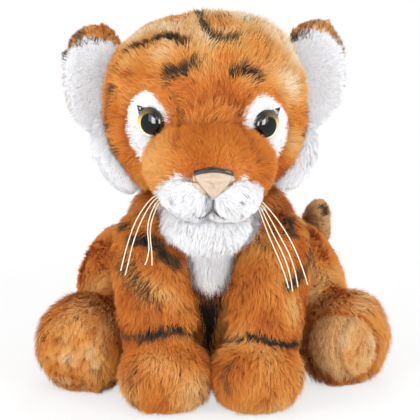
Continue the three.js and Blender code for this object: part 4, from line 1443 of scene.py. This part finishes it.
# Painted shade in the dimples of the left sole
SOLE_DIMPLE_SHADE = (
    Stroke(((98, -72, 28), (102, -72, 32)), 4.0, Tone.APRICOT, 0.8, 2.4),
    Stroke(((105, -72, 28), (112, -70, 32), (116, -68, 37)), 4.0, Tone.APRICOT, 0.8, 2.4),
)
NOSE_CREASE = (
    Stroke(((0.6, -157, 183), (0.9, -159, 172)), 0.9, Tone.RUST, 0.7, 0.5),
    Stroke(((-12.2, -155.9, 183.4), (-6, -155.6, 185), (1.5, -155.4, 185.8), (8, -154.8, 185), (15.2, -153.6, 183.2)),
           5.0, Tone.SOOT, 0.95, 0.5),
)
LIP = (Stroke(((-14, -143, 142), (-10, -144, 140), (-5, -145, 138), (2, -146, 137), (8, -145, 139)), 2.4,
              Tone.SMOKE, 0.3),)


# Areas of one dye, or of painted light or shade, as seen from the front


PATCH_OUTLINES: dict[str, tuple[tuple[float, float], ...]] = {
    "right": (
        (-44.5, 231.9), (-39.8, 229.5), (-34.9, 224.6), (-30.1, 218.9), (-27.3, 213.2), (-29.3, 207.5),
        (-35.8, 204.2), (-40.0, 196.0), (-44.0, 182.6), (-49.3, 182.8), (-54.3, 192.2), (-57.2, 199.3),
        (-58.6, 207.5), (-58.4, 214.0), (-56.3, 219.7), (-51.9, 226.2), (-47.7, 230.2),
    ),
    "left": (
        (35.9, 228.6), (40.8, 226.6), (45.7, 222.1), (49.0, 218.1), (51.5, 213.2), (52.8, 207.5),
        (52.6, 201.7), (51.2, 196.0), (49.4, 190.6), (46.8, 185.6), (43.6, 184.2), (40.6, 186.7),
        (36.8, 192.7), (33.9, 196.0), (30.5, 199.3), (26.5, 201.7), (23.2, 205.0), (22.0, 209.9),
        (22.3, 214.8), (23.9, 218.9), (27.1, 223.7), (31.2, 227.0),
    ),
}
MUZZLE_OUTLINES: dict[str, tuple[tuple[float, float], ...]] = {
    "right": (
        (-21.5, 180.6), (-17.0, 177.4), (-12.0, 173.0), (-4.2, 166.3), (0.6, 162.8), (0.6, 141.8),
        (-14.5, 128.0), (-38.0, 128.0), (-37.0, 153.4), (-34.0, 163.6), (-32.6, 171.0), (-27.8, 175.8),
    ),
    "left": (
        (21.2, 180.8), (24.6, 175.4), (27.4, 169.8), (30.2, 160.6), (36.4, 150.4), (36.0, 128.0),
        (9.6, 128.0), (0.6, 141.8), (0.6, 162.8), (7.5, 167.7), (14.6, 173.4),
    ),
}
MUZZLE_DEPTH = -150.0
BIB_OUTLINE = (
    (-38.0, 152.0), (-36.0, 140.0), (-30.0, 130.0), (-25.0, 124.0), (-18.0, 119.0),
    (-13.0, 111.0), (-10.0, 100.0), (10.0, 100.0), (15.0, 111.0), (20.0, 117.0), (27.0, 123.0),
    (34.0, 130.0), (39.0, 139.0), (39.0, 150.0),
)
DISC_OUTLINE = (
    (95.8, 60.7), (106.2, 59.2), (114.5, 53.8), (119.1, 43.8), (119.4, 31.4), (114.3, 20.5), (105.5, 15.0),
    (95.0, 13.5), (84.5, 17.4), (76.9, 25.2), (73.8, 36.0), (74.4, 46.9), (79.5, 56.1), (86.9, 60.0),
)
BRIDGE_OUTLINE = (
    (-20.4, 207.0), (-17.6, 215.3), (-11.2, 221.6), (-4.2, 224.1), (4.8, 224.5), (13.2, 221.6), (20.3, 213.9),
    (23.8, 207.0), (22.0, 194.0), (-19.0, 194.0),
)
RUFF_OUTLINES = {
    "right": ((-87.0, 184.0), (-66.0, 170.0), (-48.0, 149.0), (-67.0, 130.0), (-98.0, 146.0)),
    "left": ((84.0, 182.0), (65.0, 166.0), (49.0, 154.0), (58.0, 130.0), (98.0, 144.0)),
}
EAR_OUTLINES: dict[str, tuple[tuple[float, float], ...]] = {
    "right": (
        (-114.5, 246.8), (-105.1, 253.2), (-97.7, 256.5), (-88.8, 258.7), (-80.0, 259.1), (-72.7, 257.6),
        (-66.9, 252.4), (-61.7, 180.9), (-118.2, 180.9),
    ),
    "left": (
        (105.1, 243.3), (97.0, 254.0), (91.0, 260.7), (82.0, 265.6), (72.6, 267.0), (66.2, 265.4),
        (62.0, 261.0), (61.0, 254.0), (51.7, 246.0), (51.7, 180.2), (109.6, 180.2),
    ),
}
EAR_FRONTS = {
    side: (Region(EAR_OUTLINES[side], Tone.WHITE, depth, 1.2, facing=0.12),)
    for side, depth in (("right", -46.0), ("left", -36.0))
}
NOSE_OUTLINE = (
    (-8.0, 184.4), (-12.2, 181.4), (-13.4, 178.0), (-12.6, 174.6), (-9.6, 171.6), (-5.4, 168.4),
    (0.8, 166.2), (6.4, 168.4), (11.6, 172.0), (15.0, 175.4), (16.0, 178.6), (14.8, 182.0), (10.0, 184.6),
)
PATCHES = tuple(Region(outline, Tone.WHITE, facing=0.1, cut=0.36) for outline in PATCH_OUTLINES.values())
SHORN = (Region(NOSE_OUTLINE, 1.85, -156.0, 0.3, cut=0.12),)
BRIDGE = (Region(BRIDGE_OUTLINE, 4.7, -113.0, 2.0, facing=0.1),)
DISC_EDGE = tuple((97.0 + (x - 97.0) * 1.11, 37.0 + (z - 37.0) * 1.11) for x, z in DISC_OUTLINE)
DISC = (
    Region(DISC_EDGE, 5.4, -74.0, 1.0, facing=0.3, cut=0.7, back=-36.0),
    Region(DISC_OUTLINE, 3.1, -74.0, 1.4, facing=0.3, cut=0.6, back=-36.0),
)
RIM = (
    Region(DISC_OUTLINE, 5.4, -74.0, 1.4, outside=True),
    Region(DISC_EDGE, 4.1, -74.0, 1.0, outside=True, cut=1.4),
)
MUZZLE = tuple(Region(outline, Tone.WHITE, MUZZLE_DEPTH, 1.6) for outline in MUZZLE_OUTLINES.values())
# Painted light: the tail's tip is dyed lighter to stand in for the light on it
TAIL_TIP_PAINTED_LIGHT = (Region(((50.0, 102.0), (125.0, 102.0), (125.0, 160.0), (50.0, 160.0)), 2.8, 20.0, 9.0),)
BIB = (Region(BIB_OUTLINE, Tone.WHITE, soft=2.0, facing=0.1),)
# Between the forelegs: white fur, then painted shade deep in the gap, umber and then soot
GAP_WHITE_AND_PAINTED_SHADE = (
    Region(((-18.0, 110.0), (17.0, 110.0), (11.0, 88.0), (-11.0, 88.0)), Tone.WHITE, -84.0, 2.0, facing=0.2),
    Region(((-10.5, 88.0), (10.5, 88.0), (7.0, 72.0), (-8.5, 72.0)), Tone.UMBER, -84.0, 3.5, facing=0.2),
    Region(((-8.8, 76.0), (7.3, 76.0), (1.5, 51.0), (0.0, 20.0), (-3.0, 20.0), (-5.5, 51.0)), Tone.SOOT, -84.0, 3.0,
           facing=0.2),
)


# Painted shade along the snout's creases, and an orange spot under the nose
SNOUT_CREASE_SHADE_AND_NOSE_SPOT = (
    Stroke(((-21, -126, 206), (-21, -132, 200), (-20, -138, 190)), 3.5, Tone.RUST, 0.75, 2.2),
    Stroke(((22, -126, 206), (25, -138, 188), (31, -140, 166)), 3.0, Tone.RUST, 0.8, 2.0),
    Stroke(((26, -138, 196), (31, -134, 182), (36, -130, 168)), 7.0, Tone.RUST, 0.5, 3.0),
    Stroke(((0, -158, 163), (1, -160, 167)), 2.4, Tone.ORANGE, 0.9, 0.8),
)


# Parts with their own cut, shade or clearings


class FaceGroom(Groom):
    """A groom beside the eyes, the nose and the mouth, which stay clear of pile."""

    eyes: tuple[tuple[np.ndarray, float], ...] = ()
    bare: float = 0.98
    narrow: float = 0.9

    def clear(self, roots: np.ndarray, tips: np.ndarray) -> np.ndarray:
        """Shortens the strands that would cover an eye.

        Args:
            roots: The strands' roots in metres.
            tips: The strands' tips in metres.

        Returns:
            A share of the length from 0 to 1 for each strand.
        """
        share = np.ones(len(roots))
        for middle, radius in self.eyes:
            for place in (roots, tips, (roots + tips) / 2):
                gap = np.linalg.norm((place - middle) / (self.narrow, 1, 1), axis=1)
                share = np.where(gap < radius * self.bare, 0.0, share)
        return share


class HeadGroom(FaceGroom):
    """The head: frosted on the crown, deeper on the cheeks."""

    def shade(self, places: np.ndarray) -> np.ndarray:
        """Lightens the crown and its left side, and deepens the cheeks."""
        frost = 1.6 * rise(places, Z, 236, 272) + 2.0 * rise(places, X, 26, 58) * rise(places, Z, 205, 245)
        return 0.4 * rise(places, Z, 200, 170) - np.minimum(frost, 2.1)

    def lengths(self, roots: np.ndarray) -> np.ndarray:
        """Leaves the crown fuller on its left than on its right."""
        full = 0.4 * rise(roots, X, -4, 26) - 0.45 * rise(roots, X, -4, -30)
        return self.coat.length * MM * (1 + rise(roots, Z, 246, 268) * full)


class PatchGroom(FaceGroom):
    """The white patch of an eye, fuller beside the nose, where it laps over the dome's edge."""

    middle: np.ndarray = np.zeros(3)
    way: float = 1.0

    def lengths(self, roots: np.ndarray) -> np.ndarray:
        """Cuts the pile longer on the inner side of the eye."""
        inner = (self.middle[X] - roots[:, X]) * self.way
        return self.coat.length * MM * (1 + 0.8 * smooth_step(3 * MM, 10 * MM, inner))


class SnoutGroom(FaceGroom):
    """The snout: tan on the tiger's right and deeper on its left."""

    nose: Point = (1.5, -158.0, 176.0)

    def shade(self, places: np.ndarray) -> np.ndarray:
        """Deepens the middle and the left, and lightens the right."""
        bridge = 0.5 * np.exp(-((places[:, X] / (16 * MM)) ** 2))
        return bridge - 0.5 * rise(places, X, -8, -32) + 0.2 * rise(places, Z, 200, 170) * rise(places, X, 8, 30)

    def lengths(self, roots: np.ndarray) -> np.ndarray:
        """Cuts the pile shorter round the nose."""
        gap = np.linalg.norm(roots - metres(self.nose), axis=1)
        return self.coat.length * MM * (0.5 + 0.75 * smooth_step(12 * MM, 46 * MM, gap))


class MuzzleGroom(FaceGroom):
    """The white muzzle, parted at the nose and the sewn mouth."""

    seams: np.ndarray = np.zeros((0, 3))

    def clear(self, roots: np.ndarray, tips: np.ndarray) -> np.ndarray:
        """Parts the pile along the nose and the mouth, widest in the middle.

        Args:
            roots: The strands' roots in metres.
            tips: The strands' tips in metres.

        Returns:
            A share of the length from 0 to 1 for each strand.
        """
        share = super().clear(roots, tips)
        parting = (0.65 + 0.7 * np.exp(-(((roots[:, X] - 1 * MM) / (5 * MM)) ** 2))) * MM
        for place in (roots, tips, (roots + tips) / 2):
            gap = np.linalg.norm(place[:, None, :] - self.seams[None, :, :], axis=2).min(axis=1)
            share = np.where(gap < parting, 0.0, share)
        return share


class LegGroom(Groom):
    """A foreleg: longer, lighter pile on the paw than on the shaft, the lighter dye with a painted highlight, and
    fuller on the inner side.
    """

    def paw(self, places: np.ndarray) -> np.ndarray:
        """How much each place belongs to the paw, from 0 to 1."""
        return 1 - rise(places, Z, 24, 52)

    def lengths(self, roots: np.ndarray) -> np.ndarray:
        """Cuts the paw's front and the shaft's inner side longer."""
        inner = smooth_step(26 * MM, 16 * MM, np.abs(roots[:, X])) * (1 - self.paw(roots))
        return self.coat.length * MM * (1 + 0.3 * self.paw(roots) * rise(roots, Y, -60, -100) + 0.6 * inner)

    def shade(self, places: np.ndarray) -> np.ndarray:
        """Lightens the paw: its lighter fur, with a painted highlight."""
        # The paw's lighter pile, with a painted highlight on it
        return -0.85 * self.paw(places)


class HindGroom(Groom):
    """A hind leg: smooth short pile on the haunch and long light pile on the foot."""

    toes: Point = (0.0, 0.0, 0.0)
    crest: float = 0.0

    def foot(self, places: np.ndarray) -> np.ndarray:
        """How much each place belongs to the foot, from 0 on the haunch to 1."""
        gap = np.linalg.norm((places - metres(self.toes))[:, :2], axis=1)
        return 1 - smooth_step(40 * MM, 62 * MM, gap)

    def lengths(self, roots: np.ndarray) -> np.ndarray:
        """Cuts the foot longer."""
        return self.coat.length * MM * (0.58 + 0.64 * self.foot(roots))

    def shade(self, places: np.ndarray) -> np.ndarray:
        """Deepens the haunch as painted shade, and lightens the foot, and its upper rim by the crest as well."""
        # The 0.35 deepens the haunch as painted shade
        return 0.35 - (1.3 + self.crest * rise(places, Z, 50, 66)) * self.foot(places)


class ChestGroom(Groom):
    """The white chest, with painted shade that greys it down between the forelegs."""

    def shade(self, places: np.ndarray) -> np.ndarray:
        """Greys the pile low down as painted shade."""
        # Painted shade: the white pile turns toward smoke grey low down
        return 0.35 * rise(places, Z, 94, 84)


@dataclass
class Finishes:
    """All the finishes of the toy."""

    def __post_init__(self) -> None:
        """Builds the shared groups and the materials."""
        dye, knit = dye_group("pile_dye_and_root_shade", ROOT_DYES_WITH_PAINTED_SHADE, TIP_DYES), cloth_group()
        nose = dye_group("velour_dye_and_root_shade", VELOUR_ROOTS_WITH_PAINTED_SHADE, VELOUR_TIPS)
        self.pile = PileFinish("pile_strands", dye).material()
        self.velour = PileFinish("velour_strands", nose, roughness=0.8, sheen=0.15).material()
        self.velour_cloth = SkinFinish("velour_backing", nose, knit, along=0.5).material()
        self.cloth = SkinFinish("pile_backing", dye, knit).material()
        self.fibre = GrainFinish("fibre_filling", (242, 240, 233), (214, 210, 200), grain=420.0).material()
        self.pouch = GrainFinish("pouch_cloth", (218, 212, 202), (190, 184, 172), grain=1900.0).material()
        self.felt = GrainFinish("lash_felt", (24, 20, 18), (10, 8, 7), grain=1700.0).material()
        self.thread = GrainFinish("dark_thread", (44, 36, 32), (16, 13, 11), grain=2600.0, roughness=0.6).material()
        self.mouth = GrainFinish("mouth_thread", (104, 94, 88), (60, 52, 48), grain=2600.0, roughness=0.7).material()
        self.washer = GrainFinish(
            "lock_washer", (230, 227, 221), (202, 199, 194), grain=260.0, detail=2.0, depth=0.1, strength=0.15,
            roughness=0.35, sheen=0.0, gloss=0.5,
        ).material()
        self.eye = EyeFinish("eye_dome").material()

    def dress_nodes(self) -> None:
        """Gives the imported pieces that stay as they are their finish."""
        table = {
            "eye_washer": self.washer,
            "eye_lash": self.felt,
            "toe_thread": self.thread,
            "nose_seam": self.thread,
            "mouth_thread": self.mouth,
        }
        for name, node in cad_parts.items():
            for start, finish in table.items():
                if name.startswith(start):
                    node.data.materials.clear()
                    node.data.materials.append(finish)


@dataclass
class Tiger:
    """The whole toy: its skins, panels, eyes and pile."""

    finishes: Finishes
    skins: dict[str, Skin] = field(default_factory=dict)
    grooms: list[Groom] = field(default_factory=list)

    def skin(self, name: str, nodes: tuple[str, ...], body: str, slot: str = "orange_pile", **sizes: float) -> None:
        """Lists one skin."""
        finish = self.finishes.cloth
        self.skins[name] = Skin(name, nodes, body, slot, finish, **sizes)

    def list_skins(self) -> None:
        """Lists every stuffed part and pile panel."""
        panel = {"voxel": 1.1 * MM, "inset": 0.0, "swell": 0.3 * MM, "rounds": 3, "refine": 0}
        shorn = {**panel, "voxel": 0.6 * MM, "rounds": 11, "swell": 0.55 * MM}
        small = {"voxel": 3 * MM, "inset": 0.6 * MM, "swell": 1.0 * MM}
        self.skin("body_skin", ("body_cover", "body_filling"), "torso")
        self.skin("head_skin", ("head_cover", "head_filling"), "head")
        self.skin("snout_skin", ("snout_cover", "snout_filling"), "head", **small)
        self.skin("chin_skin", ("chin_pad",), "head", "white_pile", **small)
        self.skin("tail_skin", ("tail_cover", "tail_filling"), "tail", **small)
        self.skin("chest_skin", ("chest_panel",), "torso", "white_pile", **panel)
        self.skin("nose_skin", ("nose",), "head", "nose_velour", **shorn)
        for side in SIDES:
            self.skin(f"muzzle_skin_{side}", (f"muzzle_pad_{side}",), "head", "white_pile", **small)
            self.skin(f"cheek_skin_{side}", (f"cheek_ruff_{side}",), "head", "white_pile", **small)
            self.skin(f"ear_skin_{side}", (f"ear_back_{side}",), f"ear_{side}", **small)
            self.skin(f"ear_lining_skin_{side}", (f"ear_lining_{side}",), f"ear_{side}", "white_pile", **panel)
            self.skin(f"eye_patch_skin_{side}", (f"eye_patch_{side}",), "head", "white_pile", **panel)
            self.skin(
                f"foreleg_skin_{side}", (f"foreleg_cover_{side}", f"foreleg_filling_{side}"), f"foreleg_{side}"
            )
            self.skin(
                f"hindleg_skin_{side}", (f"hindleg_cover_{side}", f"hindleg_filling_{side}"), f"hindleg_{side}"
            )
            self.skin(f"sole_skin_{side}", (f"foot_sole_{side}",), f"hindleg_{side}", "sole_pile", **panel)
        self.skin("neck_ball", ("neck_plug",), "neck", "fibre_filling")
        self.skin("seat_pouch", ("bean_bag",), "torso", "pouch_cloth", voxel=3 * MM)
        self.skins["nose_skin"].finish = self.finishes.velour_cloth
        self.skins["neck_ball"].finish = self.finishes.fibre
        self.skins["seat_pouch"].finish = self.finishes.pouch

    def sew(self) -> None:
        """Cuts the skins, lets the filling swell them and settles them."""
        for skin in self.skins.values():
            skin.cut_out()
        stuffed = [skin for skin in self.skins.values() if skin.refine]
        for skin in stuffed:
            skin.stuff()
        for step in range(1, 21):
            bpy.context.scene.frame_set(step)
        for skin in self.skins.values():
            skin.settle()
            log.info("sewed %s: %d faces", skin.name, len(skin.thing.data.polygons))
        bpy.context.scene.frame_set(1)

    def groom(self, name: str, kind: type[Groom], facts: dict | None = None, **coat: object) -> None:
        """Lists the pile of one skin.

        Args:
            name: The skin's name.
            kind: The groom that fits it.
            facts: Places that the groom needs.
            coat: How the pile is cut, combed and dyed.
        """
        finish = self.finishes.velour if name == "nose_skin" else self.finishes.pile
        worker = kind(self.skins[name], Coat(**coat), finish, SEED + 31 * len(self.grooms))
        for key, value in (facts or {}).items():
            setattr(worker, key, value)
        self.grooms.append(worker)

    def list_coats(self, eyes: tuple[tuple[np.ndarray, float], ...]) -> None:
        """Lists the coat of every skin.

        Args:
            eyes: The middle of each eye and how far the pile stays from it.
        """
        seams = places_of(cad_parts["mouth_thread"].data)[::3]
        shy = {"eyes": eyes}
        self.groom(
            "head_skin", HeadGroom, shy, length=8.5, density=1.5, tone=4.75,
            comb=Comb((1.0, -150.0, 188.0), 1.0, (0.0, 0.1, -0.2)), vary=0.8, strokes=HEAD_STRIPES,
            regions=PATCHES + BRIDGE, most=65000,
        )
        self.groom(
            "snout_skin", SnoutGroom, {"bare": 0.82, **shy}, length=7.0, density=3.0, tone=4.9,
            comb=Comb((1.0, -168.0, 176.0), 1.0, (0, 0, 0.1)), vary=0.6, lift=0.6, clump=3.0, strokes=SNOUT_CREASE_SHADE_AND_NOSE_SPOT,
            regions=MUZZLE + PATCHES + SHORN, most=52000,
        )
        self.groom(
            "chin_skin", MuzzleGroom, {"seams": seams, **shy}, length=10.0, density=3.0, tone=0.0,
            comb=Comb((-1.0, -125.0, 165.0), 1.0, (0, 0, -0.6)), vary=0.1, lift=0.5, clump=4.0, pull=0.3,
            strokes=LIP, most=30000,
        )
        self.groom(
            "body_skin", Groom, length=9.0, density=1.2, tone=5.0, comb=Comb((0.0, -20.0, 200.0), 0.3), vary=0.8,
            strokes=BODY_STRIPES, regions=GAP_WHITE_AND_PAINTED_SHADE + BIB,
        )
        self.groom(
            # The chest takes the umber painted shade of the gap between the forelegs
            "chest_skin", ChestGroom, length=11.0, density=4.0, tone=0.0, comb=Comb((0.0, -60.0, 160.0), 0.4),
            vary=0.1, clump=5.0, pull=0.35, regions=GAP_WHITE_AND_PAINTED_SHADE[1:2], most=20000,
        )
        self.groom(
            "tail_skin", Groom, length=5.5, density=3.0, tone=4.3, comb=Comb((8.0, 38.0, 32.0), 1.0, (0, 0, 0.2)),
            vary=0.4, strokes=TAIL_STRIPES, regions=TAIL_TIP_PAINTED_LIGHT, most=30000,
        )
        self.groom(
            "nose_skin", Groom, length=0.9, density=9.0, tone=2.75, comb=Comb((1.0, -150.0, 190.0), 0.4), width=0.3,
            vary=0.15, clump=2.0, pull=0.1, most=9000, strokes=NOSE_CREASE,
        )
        for side, way in SIDES.items():
            middle = eyes[0 if side == "left" else 1][0]
            self.groom(
                f"muzzle_skin_{side}", MuzzleGroom, {"seams": seams, **shy}, length=5.2, density=4.0, tone=0.0,
                comb=Comb((1.0, -150.0, 172.0), 1.0, (0, 0, -0.3)), vary=0.05, lift=0.6, clump=3.5,
                strokes=PAD_SPOTS, regions=SHORN, most=22000,
            )
            self.groom(
                f"cheek_skin_{side}", Groom, length=7.0, density=3.4, tone=0.0,
                comb=Comb((-4.0, -90.0, 205.0), 0.5, (-way * 0.5, 0, -0.9)), vary=0.05, lift=0.42, clump=6.0,
                pull=0.4, most=26000, regions=(Region(RUFF_OUTLINES[side], Tone.WHITE, -66.0, 3.0, cut=0.35),),
            )
            self.groom(
                f"ear_skin_{side}", Groom, length=4.4, density=3.2, tone=4.0,
                comb=Comb((way * 60.0, -40.0, 215.0), 1.0, (0, 0, 0)), vary=0.7,
                strokes=EAR_RIMS[side] + EAR_HAIRS[side], regions=EAR_FRONTS[side], most=34000,
            )
            self.groom(
                f"ear_lining_skin_{side}", Groom, length=4.2, density=4.0, tone=0.0,
                comb=Comb((way * 66.0, -45.0, 225.0), 1.0, (0, 0, -0.2)), vary=0.05, lift=0.7, clump=3.0,
                strokes=EAR_HAIRS[side], most=26000,
            )
            fringe = (Region(PATCH_OUTLINES[side], 4.9, outside=True),)
            self.groom(
                f"eye_patch_skin_{side}", PatchGroom, {"narrow": 0.74, "middle": middle, "way": way, **shy},
                length=4.0, density=5.0, tone=0.0,
                comb=Comb(tuple(middle / MM - (way * 24.0, 0, 0)), 1.0, (0, 0, 0)), vary=0.05, lift=0.55, clump=2.5,
                regions=fringe, most=11000,
            )
            self.groom(
                f"foreleg_skin_{side}", LegGroom, length=8.5, density=2.0, tone=5.0,
                comb=Comb((way * 34.0, -90.0, 90.0), 0.5), vary=0.85, strokes=LEG_STRIPES_AND_TOE_SHADE[side], regions=BIB,
                most=60000,
            )
            self.groom(
                f"hindleg_skin_{side}", HindGroom,
                {"toes": (way * 116.0, -60.0, 30.0), "crest": 0.4 if side == "left" else 0.0}, length=9.5,
                density=1.5, tone=5.0, comb=Comb((way * 80.0, -10.0, 46.0), 0.8, (0, 0, -0.6)), vary=0.65,
                mess=0.18, most=65000, regions=DISC if side == "left" else (),
                strokes=SOLE_DIMPLE_SHADE if side == "left" else (),
            )
            if side == "right":
                self.groom(
                    f"sole_skin_{side}", Groom, length=9.0, density=5.0, tone=3.9,
                    comb=Comb((-84.0, -50.0, 74.0), 0.5, (0, 0, -0.5)), vary=0.9, patch=8.0, mess=0.34, lift=0.6,
                    clump=7.0, pull=0.6, most=18000,
                )
            else:
                self.groom(
                    f"sole_skin_{side}", Groom, length=7.0, density=5.0, tone=3.1,
                    comb=Comb((78.0, -60.0, 66.0), 0.6, (0, 0, -0.3)), vary=0.3, patch=9.0, mess=0.3, lift=0.5,
                    strokes=SOLE_DIMPLE_SHADE, regions=RIM, most=20000,
                )

    def grow(self) -> None:
        """Dyes the cloth and grows the pile."""
        corners: list[np.ndarray] = []
        places: list[np.ndarray] = []
        count = 0
        workers = {worker.skin.name: worker for worker in self.grooms}
        for name in filter(workers.get, self.skins):
            corners.append(workers[name].corners + count)
            places.append(workers[name].places)
            count += len(places[-1])
        room = BVHTree.FromPolygons(np.concatenate(places).tolist(), np.concatenate(corners).tolist())
        for worker in self.grooms:
            worker.skin.dye(worker.tones(worker.places, worker.normals, False))
            pile = worker.grow(room)
            log.info("grew %s: %d strands", pile.name, len(pile.data.polygons) // 2)


def main() -> None:
    """Builds the scene in order."""
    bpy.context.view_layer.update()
    logging.basicConfig(level=logging.INFO, format="%(message)s")
    studio = Studio()
    studio.camera()
    Whiskers().build()
    studio.backdrop()
    studio.light()
    log.info("set the studio and the whiskers")
    finishes = Finishes()
    finishes.dress_nodes()
    tiger = Tiger(finishes)
    tiger.list_skins()
    tiger.sew()
    domes = []
    for side in SIDES:
        eye = Eye(side)
        eye.build(finishes.eye)
        domes.append((np.array(eye.place().translation), 11.2 * MM))
        log.info("made the %s eye", side)
    tiger.list_coats(tuple(domes))
    tiger.grow()


if __name__ == "__main__":
    main()
